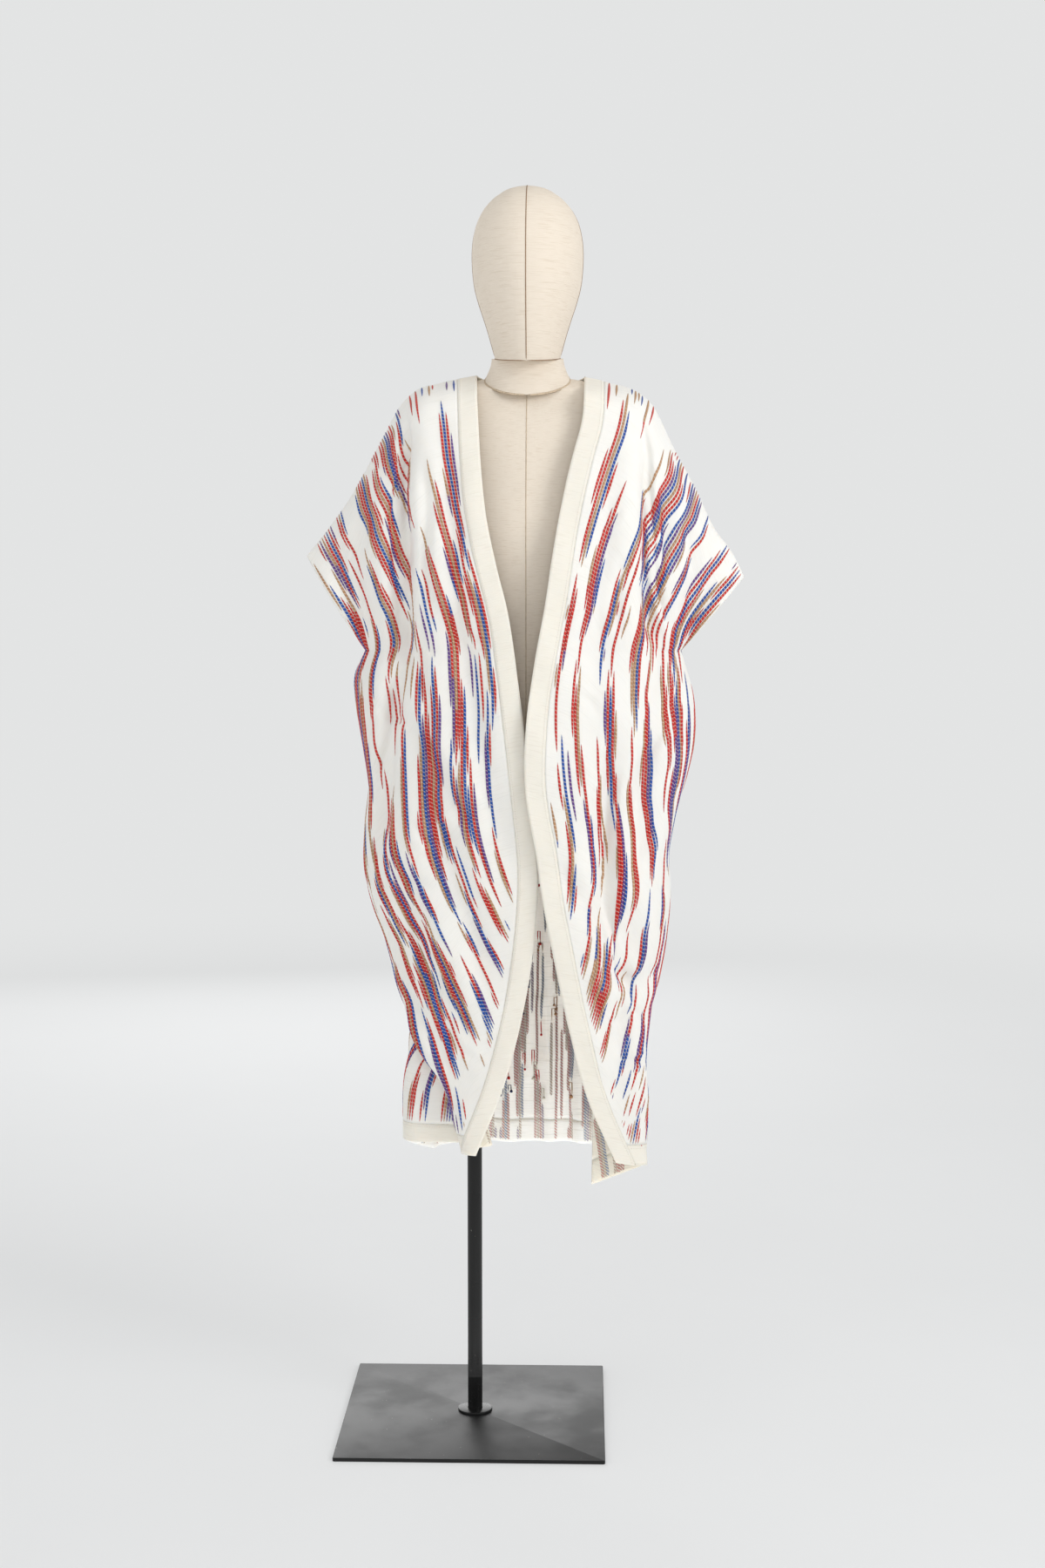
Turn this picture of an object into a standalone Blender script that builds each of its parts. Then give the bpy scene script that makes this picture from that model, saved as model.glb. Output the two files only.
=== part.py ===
"""Open front kimono jacket worn on a limbless dress form that stands on a pole.

Every cut and sewn cloth piece is its own wall, worked out from one drape: rows run from the
shoulder seam down to the hem, and each row is a plan curve from the front edge round the side
to the middle of the back. Metres, +Z up, the front faces -Y. The origin is the middle of the
base plate's underside; the dress form stands to one side of the pole, as such forms do.
"""
import math
from collections import namedtuple

import bmesh
import bpy
import numpy as np

# Driving sizes
FORM_X = 0.072
PANEL_WALL = 0.0015
BAND_WALL = 0.0018
BAND_WIDTH = 0.026
SEAM_GAP = 0.0003
BAND_SEAM_GAP = 0.0004
HIDDEN_SEAM_GAP = 0.0018

ARM_LEVEL = 1.050
LOW_LEVEL = 0.560
HEM_LEVEL = 0.385
BACK_DEPTH_ARM = 0.128
BACK_DEPTH_HEM = 0.145
BACK_NECK_DEPTH = 0.060
BACK_NECK_DROP = 0.010
BACK_NECK_SLOPE = 0.35
CUFF_BULGE = 0.032
SLEEVE_START = 0.55
SIDE_STRIP = 0.045
FOLD_RADIUS = 0.007
SIDE_RADIUS = 0.024
FOLD_START = 0.610
FOLD_FULL = 0.490
FOLD_DEPTH_Y = -0.084
BACK_HEM_STATION = 1.4
BACK_HEM_LIFT = 0.008

PLATE_SIZE = 0.355
PLATE_THICKNESS = 0.005
FLANGE_RADIUS = 0.0235
FLANGE_HEIGHT = 0.003
POLE_RADIUS = 0.010
TORSO_BOTTOM = 0.800
PART_GAP = 0.0003

# Columns and rows of the cloth walls
DENSE = 240
FRONT_COLUMNS = 20
BACK_COLUMNS = 13
BAND_COLUMNS = 3
HEM_ROWS = 2
TURN_COLUMNS = 3
TURN_STEPS = 12
FLAT_COLUMNS = 2
LEAST_FRONT_SHARE = 0.30
FOLD_CROWDING = 1.6
FOLD_CROWD_WIDTH = 1.6
FOLD_TAPER = 0.25
EDGE_PULL_POWER = 3
BACK_FOLD_FADE = 3
YOKE_STEPS = (0.0, 0.012, 0.06, 0.15, 0.27, 0.41, 0.57, 0.75, 0.90)
BODY_LEVELS = 16
SHOULDER_SQUARE = 2.4
SHOULDER_POWER = 0.45

# Tables: a row for each section or fold. out is the distance from the form's middle line.
Edge = namedtuple("Edge", "z out y")
Side = namedtuple("Side", "z out")
Seam = namedtuple("Seam", "out z")
Layer = namedtuple("Layer", "z out")
Shape = namedtuple("Shape", "z power")
Hem = namedtuple("Hem", "tip fold hidden side back")
Fold = namedtuple("Fold", "start end out_start out_end width depth")
Ring = namedtuple("Ring", "z half front back")
Front = namedtuple("Front", "side edge outline seam layer hem overlap folds")
Row = namedtuple("Row", "points weight shares gap")

RIGHT = Front(
    side=-1,
    edge=[
        Edge(1.412, 0.067, 0.000), Edge(1.395, 0.065, -0.044), Edge(1.352, 0.062, -0.074),
        Edge(1.295, 0.058, -0.096), Edge(1.227, 0.051, -0.110), Edge(1.160, 0.037, -0.118),
        Edge(1.104, 0.023, -0.121), Edge(1.011, 0.009, -0.124), Edge(0.939, 0.000, -0.125),
        Edge(0.850, -0.009, -0.125), Edge(0.761, -0.017, -0.125), Edge(0.677, -0.012, -0.124),
        Edge(0.590, 0.001, -0.120), Edge(0.482, 0.028, -0.113), Edge(0.385, 0.065, -0.105),
    ],
    outline=[
        Side(1.050, 0.216), Side(1.017, 0.231), Side(0.988, 0.231), Side(0.916, 0.219),
        Side(0.870, 0.213), Side(0.811, 0.218), Side(0.751, 0.218), Side(0.699, 0.205),
        Side(0.668, 0.193), Side(0.633, 0.183), Side(0.595, 0.175), Side(0.560, 0.165),
        Side(0.529, 0.159), Side(0.457, 0.165), Side(0.385, 0.166),
    ],
    seam=[
        Seam(0.067, 1.412), Seam(0.117, 1.402), Seam(0.150, 1.391), Seam(0.169, 1.372),
        Seam(0.194, 1.327), Seam(0.234, 1.255), Seam(0.271, 1.204), Seam(0.295, 1.175),
    ],
    layer=[
        Layer(0.570, 0.157), Layer(0.545, 0.149), Layer(0.518, 0.135), Layer(0.485, 0.114),
        Layer(0.445, 0.099), Layer(0.385, 0.085),
    ],
    hem=Hem(tip=0.388, fold=0.388, hidden=0.394, side=0.396, back=0.346),
    overlap=0.026,
    folds=[
        Fold(0.05, 1.18, 0.158, 0.166, 0.018, 0.024),
        Fold(1.02, 1.42, 0.172, 0.196, 0.016, 0.012),
        Fold(0.80, 1.46, 0.110, 0.020, 0.020, 0.009),
        Fold(1.12, 1.70, 0.160, 0.045, 0.024, 0.010),
        Fold(1.40, 1.88, 0.180, 0.085, 0.020, 0.010),
        Fold(0.25, 1.05, 0.108, 0.082, 0.020, 0.008),
    ],
)

LEFT = Front(
    side=1,
    edge=[
        Edge(1.410, 0.075, 0.000), Edge(1.394, 0.075, -0.044), Edge(1.347, 0.072, -0.076),
        Edge(1.305, 0.061, -0.094), Edge(1.223, 0.043, -0.113), Edge(1.162, 0.033, -0.122),
        Edge(1.114, 0.026, -0.127), Edge(1.036, 0.012, -0.132), Edge(0.962, 0.002, -0.136),
        Edge(0.877, 0.000, -0.137), Edge(0.785, 0.015, -0.136), Edge(0.734, 0.022, -0.136),
        Edge(0.656, 0.037, -0.134), Edge(0.560, 0.057, -0.126), Edge(0.468, 0.082, -0.116),
        Edge(0.385, 0.119, -0.102),
    ],
    outline=[
        Side(1.050, 0.204), Side(1.021, 0.213), Side(0.991, 0.221), Side(0.926, 0.222),
        Side(0.889, 0.214), Side(0.827, 0.197), Side(0.776, 0.189), Side(0.737, 0.192),
        Side(0.670, 0.187), Side(0.625, 0.180), Side(0.563, 0.166), Side(0.493, 0.154),
        Side(0.385, 0.150),
    ],
    seam=[
        Seam(0.075, 1.410), Seam(0.109, 1.402), Seam(0.143, 1.391), Seam(0.163, 1.375),
        Seam(0.196, 1.311), Seam(0.222, 1.264), Seam(0.247, 1.212), Seam(0.272, 1.178),
        Seam(0.288, 1.147),
    ],
    layer=[
        Layer(0.570, 0.166), Layer(0.520, 0.159), Layer(0.450, 0.160), Layer(0.385, 0.159),
    ],
    hem=Hem(tip=0.379, fold=0.372, hidden=0.341, side=0.376, back=0.346),
    overlap=0.058,
    folds=[
        Fold(0.05, 1.08, 0.152, 0.172, 0.017, 0.019),
        Fold(1.18, 1.66, 0.104, 0.106, 0.015, 0.015),
        Fold(1.46, 1.90, 0.150, 0.118, 0.020, 0.011),
        Fold(0.35, 1.20, 0.112, 0.088, 0.022, 0.008),
        Fold(0.95, 1.45, 0.175, 0.145, 0.018, 0.010),
    ],
)

# How square the plan curve is at each height: 2 is an ellipse, less is a lens
ROUNDNESS = [Shape(0.385, 2.3), Shape(0.750, 2.3), Shape(0.900, 2.1), Shape(1.050, 1.7)]

# Vertical waves across the back; start and end count rows as in the fronts, out is signed
BACK_FOLDS = [
    Fold(1.00, 2.40, -0.150, -0.140, 0.020, 0.010),
    Fold(1.15, 2.40, -0.085, -0.088, 0.018, 0.012),
    Fold(0.70, 2.40, -0.030, -0.034, 0.020, 0.012),
    Fold(0.80, 2.40, 0.026, 0.028, 0.018, 0.013),
    Fold(1.10, 2.40, 0.082, 0.080, 0.020, 0.012),
    Fold(0.95, 2.40, 0.140, 0.128, 0.020, 0.011),
]

TORSO_RINGS = [
    Ring(0.800, 0.146, 0.090, 0.098), Ring(0.806, 0.150, 0.094, 0.102), Ring(0.870, 0.152, 0.095, 0.104),
    Ring(0.960, 0.136, 0.088, 0.090), Ring(1.050, 0.122, 0.084, 0.078), Ring(1.130, 0.132, 0.090, 0.080),
    Ring(1.210, 0.150, 0.092, 0.086), Ring(1.280, 0.155, 0.080, 0.090), Ring(1.330, 0.156, 0.068, 0.084),
    Ring(1.358, 0.154, 0.058, 0.073), Ring(1.376, 0.148, 0.048, 0.062), Ring(1.388, 0.134, 0.042, 0.051),
    Ring(1.3994, 0.106, 0.0390, 0.046), Ring(1.407, 0.063, 0.046, 0.048), Ring(1.440, 0.056, 0.045, 0.048),
]
NECK_RINGS = [
    Ring(1.340, 0.064, 0.064, 0.058), Ring(1.380, 0.0625, 0.060, 0.056), Ring(1.400, 0.060, 0.052, 0.053),
    Ring(1.412, 0.055, 0.048, 0.051), Ring(1.424, 0.050, 0.046, 0.050), Ring(1.445, 0.0475, 0.046, 0.049),
    Ring(1.480, 0.0465, 0.046, 0.049),
]
HEAD_RINGS = [
    Ring(1.405, 0.030, 0.058, 0.040), Ring(1.425, 0.0405, 0.072, 0.050), Ring(1.450, 0.0475, 0.082, 0.060),
    Ring(1.471, 0.0535, 0.089, 0.070), Ring(1.488, 0.0590, 0.094, 0.077), Ring(1.506, 0.0650, 0.098, 0.085),
    Ring(1.527, 0.0705, 0.101, 0.092), Ring(1.550, 0.0732, 0.102, 0.097), Ring(1.573, 0.0738, 0.100, 0.099),
    Ring(1.596, 0.0712, 0.094, 0.097), Ring(1.616, 0.0650, 0.083, 0.090), Ring(1.632, 0.0550, 0.069, 0.077),
    Ring(1.645, 0.0410, 0.051, 0.058), Ring(1.6545, 0.0235, 0.029, 0.033),
    Ring(1.6585, 0.0080, 0.010, 0.011),
]
RING_SIDES = 28
ROUND_SIDES = 32
SHARP_ANGLE = math.radians(45)
CHIN_PLANE = (1.435, 0.14)
NECK_PLANE = (1.409, 0.46)

CREAM = (0.86, 0.83, 0.76, 1.0)
BAND_CREAM = (0.80, 0.76, 0.66, 1.0)
LINEN = (0.72, 0.62, 0.48, 1.0)
BLACK = (0.012, 0.012, 0.014, 1.0)


def clear_scene():
    """Remove whatever the start-up file holds."""
    for item in list(bpy.data.objects):
        bpy.data.objects.remove(item, do_unlink=True)


def make_material(name, colour, roughness, metallic):
    """Plain Principled finish."""
    material = bpy.data.materials.new(name)
    material.use_nodes = True
    shader = material.node_tree.nodes["Principled BSDF"]
    shader.inputs["Base Color"].default_value = colour
    shader.inputs["Roughness"].default_value = roughness
    shader.inputs["Metallic"].default_value = metallic
    return material


def smooth_value(rows, column, where):
    """Value of a table's column at a place in its first column, on a smooth curve."""
    ordered = sorted(rows, key=lambda row: row[0])
    keys = np.array([row[0] for row in ordered])
    values = np.array([getattr(row, column) for row in ordered])
    slopes = np.gradient(values, keys)
    where = np.clip(where, keys[0], keys[-1])
    index = np.clip(np.searchsorted(keys, where) - 1, 0, len(keys) - 2)
    step = keys[index + 1] - keys[index]
    t = (where - keys[index]) / step
    start = values[index] * (2 * t**3 - 3 * t**2 + 1) + slopes[index] * step * (t**3 - 2 * t**2 + t)
    end = values[index + 1] * (3 * t**2 - 2 * t**3) + slopes[index + 1] * step * (t**3 - t**2)
    return start + end


def ease(low, high, value):
    """Smooth step from 0 at low to 1 at high."""
    t = np.clip((value - low) / (high - low), 0.0, 1.0)
    return t * t * (3 - 2 * t)


def lengths(points):
    """Distance along a row of points, from its start."""
    steps = np.linalg.norm(np.diff(points, axis=0), axis=1)
    return np.concatenate([[0.0], np.cumsum(steps)])


def place(points, distances):
    """Points at the given distances along a row."""
    run = lengths(points)
    columns = [np.interp(distances, run, points[:, axis]) for axis in range(points.shape[1])]
    return np.stack(columns, axis=1)


def spread(points, count):
    """The same row as evenly spaced points."""
    return place(points, np.linspace(0.0, lengths(points)[-1], count))


def quarter(start, end, power):
    """Quarter of a plan curve that leaves start sideways and reaches end heading back."""
    angle = np.linspace(0.0, math.pi / 2, DENSE)
    out = start[0] + (end[0] - start[0]) * np.sin(angle) ** (2 / power)
    y = end[1] + (start[1] - end[1]) * np.clip(np.cos(angle), 0, 1) ** (2 / power)
    return np.stack([out, y], axis=1)


def turn(start, heading, change, radius):
    """Arc from start; headings are measured from the outward direction towards the back."""
    angles = heading + np.linspace(0.0, change, TURN_STEPS)
    spin = math.copysign(1.0, change)
    reach = spin * radius
    centre = np.array([start[0] - reach * math.sin(heading), start[1] + reach * math.cos(heading)])
    return centre + reach * np.stack([np.sin(angles), -np.cos(angles)], axis=1)


def fold_share(level):
    """How far the side is folded over itself at a height: 0 is open, 1 is the full fold."""
    return float(ease(-FOLD_START, -FOLD_FULL, -level))


def side_gap(level):
    """Half the side seam's gap: wider inside the fold, where the walls turn towards each other."""
    return (SEAM_GAP + (HIDDEN_SEAM_GAP - SEAM_GAP) * math.sqrt(fold_share(level))) / 2


def edge_point(front, level):
    """Front edge in plan at a height."""
    return np.array([smooth_value(front.edge, "out", level), smooth_value(front.edge, "y", level)])


def fold_corner(front, level):
    """Front layer's outer fold in plan, and the hidden seam behind it."""
    fold = np.array([smooth_value(front.layer, "out", level), FOLD_DEPTH_Y])
    hidden = fold + np.array([-front.overlap - 2 * FOLD_RADIUS, 2 * FOLD_RADIUS])
    return fold, hidden


def runs_of(pieces):
    """Pieces of a folded strip as one even run, and each piece's share of it."""
    run = np.concatenate([piece if index == 0 else piece[1:] for index, piece in enumerate(pieces)])
    whole = lengths(run)[-1]
    first = lengths(pieces[0])[-1] / whole
    last = lengths(pieces[-1])[-1] / whole
    return spread(run, DENSE), strip_shares(first, last)


def strip_shares(first, last):
    """Places of a strip's columns: close together in both turns, wide between them."""
    head = np.linspace(0.0, first, TURN_COLUMNS + 1)
    middle = np.linspace(first, 1 - last, FLAT_COLUMNS + 1)[1:-1]
    tail = np.linspace(1 - last, 1.0, TURN_COLUMNS + 1)
    return np.concatenate([head, middle, tail])


def front_plan(front, level):
    """Plan points from the front edge to the fold and on to the side seam, and the strip's columns."""
    power = smooth_value(ROUNDNESS, "power", level)
    edge = edge_point(front, level)
    side = np.array([smooth_value(front.outline, "out", level), 0.0])
    whole = quarter(edge, side, power)
    total = lengths(whole)[-1]
    panel = place(whole, np.linspace(0.0, total - SIDE_STRIP, DENSE))
    strip = place(whole, np.linspace(total - SIDE_STRIP, total, DENSE))
    fold, _ = fold_corner(front, level)
    folded_panel = spread(quarter(edge, fold, power), DENSE)
    inward = turn(fold, math.pi / 2, math.pi / 2, FOLD_RADIUS)
    last = inward[-1] + np.array([-front.overlap, 0.0])
    folded_strip, shares = runs_of([inward, np.array([inward[-1], last]),
                                    turn(last, math.pi, -math.pi / 2, FOLD_RADIUS)])
    share = fold_share(level)
    panel = panel * (1 - share) + folded_panel * share
    strip = strip * (1 - share) + folded_strip * share
    shares = np.linspace(0, 1, len(shares)) * (1 - share) + shares * share
    return np.concatenate([panel, strip[1:]]), shares


def back_plan(front, level):
    """Plan points from the side seam to the side and on to the middle of the back."""
    power = smooth_value(ROUNDNESS, "power", level)
    depth = np.interp(level, [HEM_LEVEL, ARM_LEVEL], [BACK_DEPTH_HEM, BACK_DEPTH_ARM])
    side = np.array([smooth_value(front.outline, "out", level), 0.0])
    middle = np.array([0.0, depth])
    whole = quarter(middle, side, power)[::-1]
    total = lengths(whole)[-1]
    strip = place(whole, np.linspace(0.0, SIDE_STRIP, DENSE))
    panel = place(whole, np.linspace(SIDE_STRIP, total, DENSE))
    _, hidden = fold_corner(front, level)
    outward = turn(hidden, math.pi / 2, -math.pi / 2, FOLD_RADIUS)
    corner = np.array([side[0] - SIDE_RADIUS, outward[-1][1]])
    round_side = turn(corner, 0.0, math.pi / 2, SIDE_RADIUS)
    folded_strip, shares = runs_of([outward, np.array([outward[-1], corner]), round_side])
    folded_panel = spread(quarter(middle, round_side[-1], power)[::-1], DENSE)
    share = fold_share(level)
    strip = strip * (1 - share) + folded_strip * share
    panel = panel * (1 - share) + folded_panel * share
    shares = np.linspace(0, 1, len(shares)) * (1 - share) + shares * share
    return np.concatenate([strip, panel[1:]]), shares


def add_folds(points, row, folds, span, sign):
    """Push soft troughs into a row, square to its plan curve; returns points and column crowding."""
    heading = np.gradient(points[:, :2], axis=0)
    heading /= np.maximum(np.linalg.norm(heading, axis=1), 1e-9)[:, None]
    inward = np.stack([-heading[:, 1], heading[:, 0]], axis=1) * sign
    run = lengths(points)
    shaped = points.copy()
    weight = np.ones(len(points))
    first, last = span
    for fold in folds:
        if not fold.start < row < fold.end:
            continue
        share = (row - fold.start) / (fold.end - fold.start)
        centre = fold.out_start + (fold.out_end - fold.out_start) * share
        reach = ease(0, 1, min(share, 1 - share) / FOLD_TAPER)
        nearest = first + int(np.argmin(np.abs(points[first:last, 0] - centre)))
        away = (run - run[nearest]) / fold.width
        shaped[:, :2] += inward * (fold.depth * reach * np.exp(-(away**2)))[:, None]
        weight += FOLD_CROWDING * reach * np.exp(-((away / FOLD_CROWD_WIDTH) ** 2))
    return shaped, weight


def row_number(level):
    """Rows count 0 at the shoulder seam, 1 at the underarm and 2 at the hem."""
    return 1 + (ARM_LEVEL - level) / (ARM_LEVEL - HEM_LEVEL)


def drop(level, hem):
    """Real height of a level for a column whose hem is at the given height."""
    if level >= LOW_LEVEL:
        return np.full_like(hem, level)
    return LOW_LEVEL - (LOW_LEVEL - level) * (LOW_LEVEL - hem) / (LOW_LEVEL - HEM_LEVEL)


def body_stations():
    """Place of each plan point: 0 to 1 in the first run and 1 to 2 in the second."""
    return np.concatenate([np.linspace(0, 1, DENSE), np.linspace(1, 2, DENSE)[1:]])


def plain_front_row(front, level):
    """Front row at a height without its folds, and the strip's columns."""
    plan, shares = front_plan(front, level)
    hem = np.interp(body_stations(), [0, 1, 2], [front.hem.tip, front.hem.fold, front.hem.hidden])
    return np.column_stack([plan, drop(level, hem)]), shares


def front_body_row(front, level):
    """Front row at a height, front edge to side seam, as out, y and z."""
    plain, shares = plain_front_row(front, level)
    points, weight = add_folds(plain, row_number(level), front.folds, (0, DENSE), 1)
    return Row(points, weight, shares, side_gap(level))


def seam_row(front, count, start=0.0):
    """Shoulder seam from the neck to the cuff, as evenly spaced out, y and z."""
    outs = np.linspace(front.seam[0].out, front.seam[-1].out, DENSE)
    curve = np.stack([outs, np.zeros(DENSE), smooth_value(front.seam, "z", outs)], axis=1)
    return place(curve, np.linspace(start, lengths(curve)[-1], count))


def yoke_row(top, bottom, step, sign):
    """Row between the shoulder seam and the underarm row, neck to cuff; it rounds over the shoulder."""
    rise = (1 - (1 - step) ** SHOULDER_SQUARE) ** SHOULDER_POWER
    row = top + (bottom - top) * step
    row[:, 1] = top[:, 1] + (bottom[:, 1] - top[:, 1]) * rise
    along = np.linspace(0, 1, len(row))
    row[:, 1] += sign * CUFF_BULGE * math.sin(math.pi * step) * ease(SLEEVE_START, 1.0, along)
    return row


def front_yoke_row(front, step):
    """Front row above the underarm, with the front edge on its own curve."""
    bottom, shares = plain_front_row(front, ARM_LEVEL)
    top = seam_row(front, 2 * DENSE)
    run = lengths(bottom)
    row = yoke_row(place(top, run / run[-1] * lengths(top)[-1]), bottom, step, -1)
    wanted = edge_point(front, row[0, 2])
    pull = (1 - run / run[-1]) ** EDGE_PULL_POWER
    row[:, :2] += (wanted - row[0, :2]) * pull[:, None]
    points, weight = add_folds(row, step, front.folds, (0, DENSE), 1)
    return Row(points, weight, shares, side_gap(ARM_LEVEL))


def front_rows(front):
    """All rows of a front, shoulder seam to the hem band."""
    rows = [front_yoke_row(front, step) for step in YOKE_STEPS]
    rows[0].points[:, 1] -= SEAM_GAP / 2
    return rows + [front_body_row(front, level) for level in body_levels()]


def body_levels():
    """Heights of the rows from the underarm to the hem band's seam."""
    return np.linspace(ARM_LEVEL, HEM_LEVEL + BAND_WIDTH + SEAM_GAP, BODY_LEVELS)


def hem_levels():
    """Heights of the hem band's rows."""
    return np.linspace(HEM_LEVEL + BAND_WIDTH, HEM_LEVEL, HEM_ROWS + 1)


def front_columns(row, start):
    """Columns of a front row from a distance past the front edge to the side seam."""
    run = lengths(row.points)
    end = run[-1] - row.gap
    fold_at = max(run[DENSE - 1], start + LEAST_FRONT_SHARE * (end - start))
    spacing = np.concatenate([[0.0], np.cumsum((row.weight[1:] + row.weight[:-1]) / 2 * np.diff(run))])
    crowded = np.interp([start, fold_at], run, spacing)
    panel = np.interp(np.linspace(crowded[0], crowded[1], FRONT_COLUMNS + 1), spacing, run)
    strip = fold_at + row.shares[1:] * (end - fold_at)
    return place(row.points, np.concatenate([panel, strip]))


def back_half(front, level):
    """Half of a back row at a height, side seam to middle, as columns of out, y and z."""
    plan, shares = back_plan(front, level)
    hem = front.hem
    heights = np.interp(body_stations(), [0, 1, BACK_HEM_STATION, 2],
                        [hem.hidden, hem.side, hem.back + BACK_HEM_LIFT, hem.back])
    half = np.column_stack([plan, drop(level, heights)])
    run = lengths(half)
    side_at = run[DENSE - 1]
    strip = side_gap(level) + shares * (side_at - side_gap(level))
    panel = np.linspace(side_at, run[-1], BACK_COLUMNS + 1)[1:]
    return place(half, np.concatenate([strip, panel]))


def neck_curve(front, inset, gap):
    """Quarter of the back neckline from the shoulder seam to the middle, inset away from the edge."""
    end = seam_row(front, 2, start=inset)[0]
    angle = np.linspace(0.0, math.pi / 2, DENSE)
    middle_z = LEFT.edge[0].z - BACK_NECK_DROP - BACK_NECK_SLOPE * inset
    out = end[0] * np.cos(angle)
    y = gap + (BACK_NECK_DEPTH + inset) * np.sin(angle)
    z = end[2] + (middle_z - end[2]) * np.sin(angle) ** 2
    return np.stack([out, y, z], axis=1)


def back_top(front):
    """Columns of the back's top, cuff to middle, and the share of the neck curve at each neck column."""
    inset = BAND_WIDTH + SEAM_GAP
    seam = seam_row(front, DENSE, start=inset)[::-1]
    neck = neck_curve(front, inset, 0.0)
    corner = lengths(seam)[-1]
    whole = corner + lengths(neck)[-1]
    run = lengths(back_half(front, ARM_LEVEL))
    wanted = run / run[-1] * whole
    nearest = int(np.argmin(np.abs(wanted - corner)))
    moved = np.where(
        np.arange(len(run)) <= nearest,
        wanted * corner / wanted[nearest],
        corner + (wanted - wanted[nearest]) * (whole - corner) / (whole - wanted[nearest]))
    shares = (moved[nearest:] - corner) / (whole - corner)
    return place(np.concatenate([seam, neck[1:]]), moved), shares


def mirror_join(right, left):
    """Both halves as one row of signed points, right side seam to left side seam."""
    return np.concatenate([right * np.array([-1, 1, 1]), left[::-1][1:]])


def back_row(halves, row):
    """Whole back row with its folds, which fade out before the side strips."""
    whole = mirror_join(*halves)
    strip = 2 * TURN_COLUMNS + FLAT_COLUMNS
    folded, _ = add_folds(whole, row, BACK_FOLDS, (strip, len(whole) - strip), -1)
    steps = np.arange(len(whole))
    keep = ease(strip, strip + BACK_FOLD_FADE, np.minimum(steps, steps[::-1]))
    return whole + (folded - whole) * keep[:, None]


def back_grid():
    """Rows and columns of the back panel."""
    grid = []
    for step in YOKE_STEPS:
        halves = []
        for front in (RIGHT, LEFT):
            top, _ = back_top(front)
            row = yoke_row(top[::-1], back_half(front, ARM_LEVEL)[::-1], step, 1)[::-1]
            if step == 0.0:
                row[:, 1] += SEAM_GAP / 2
            halves.append(row)
        grid.append(back_row(halves, step))
    for level in body_levels():
        grid.append(back_row([back_half(RIGHT, level), back_half(LEFT, level)], row_number(level)))
    return grid


def new_object(name, mesh, material, collection):
    """Object for a finished mesh."""
    mesh.materials.append(material)
    item = bpy.data.objects.new(name, mesh)
    collection.objects.link(item)
    return item


def add_wall(name, grid, side, wall, material, collection, flip):
    """Cloth wall over a grid of out, y and z points, grown outwards from its inner face."""
    mesh = bpy.data.meshes.new(name)
    shell = bmesh.new()
    lines = []
    for row in grid:
        lines.append([shell.verts.new((FORM_X + side * point[0], point[1], point[2])) for point in row])
    for upper, lower in zip(lines, lines[1:]):
        for column in range(len(upper) - 1):
            corners = [upper[column], lower[column], lower[column + 1], upper[column + 1]]
            if flip:
                corners.reverse()
            shell.faces.new(corners)
    shell.to_mesh(mesh)
    shell.free()
    mesh.shade_smooth()
    item = new_object(name, mesh, material, collection)
    solid = item.modifiers.new("Wall", "SOLIDIFY")
    solid.thickness = wall
    solid.offset = 1.0
    return item


def add_front(front, label, cloth, band, collection):
    """Front panel, its front band and its hem band."""
    flip = front.side < 0
    rows = front_rows(front)
    start = BAND_WIDTH + BAND_SEAM_GAP
    panel = [front_columns(row, start) for row in rows]
    add_wall("front_" + label, panel, front.side, PANEL_WALL, cloth, collection, flip)
    hem_rows = [front_body_row(front, level) for level in hem_levels()]
    hem = [front_columns(row, start) for row in hem_rows]
    add_wall("hem_" + label, hem, front.side, PANEL_WALL, band, collection, flip)
    across = np.linspace(0.0, BAND_WIDTH, BAND_COLUMNS + 1)
    strip = [place(row.points, across) for row in rows + hem_rows[1:]]
    add_wall("band_" + label, strip, front.side, BAND_WALL, band, collection, flip)


def add_back(cloth, band, collection):
    """Back panel, its hem band and the band round the back of the neck."""
    add_wall("back", back_grid(), 1, PANEL_WALL, cloth, collection, True)
    hem = []
    for level in hem_levels():
        hem.append(back_row([back_half(RIGHT, level), back_half(LEFT, level)], row_number(level)))
    add_wall("hem_back", hem, 1, PANEL_WALL, band, collection, True)
    strip = []
    for share in np.linspace(0.0, 1.0, BAND_COLUMNS + 1):
        halves = []
        for front in (RIGHT, LEFT):
            _, shares = back_top(front)
            curve = neck_curve(front, BAND_WIDTH * share, SEAM_GAP / 2)
            halves.append(place(curve, shares * lengths(curve)[-1]))
        strip.append(mirror_join(*halves))
    add_wall("band_neck", strip, 1, BAND_WALL, band, collection, True)


def ring_points(ring):
    """Egg shaped ring about the form's middle line."""
    points = []
    for step in range(RING_SIDES):
        angle = 2 * math.pi * step / RING_SIDES
        depth = ring.back if math.sin(angle) > 0 else ring.front
        points.append((FORM_X + ring.half * math.cos(angle), depth * math.sin(angle), ring.z))
    return points


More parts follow.
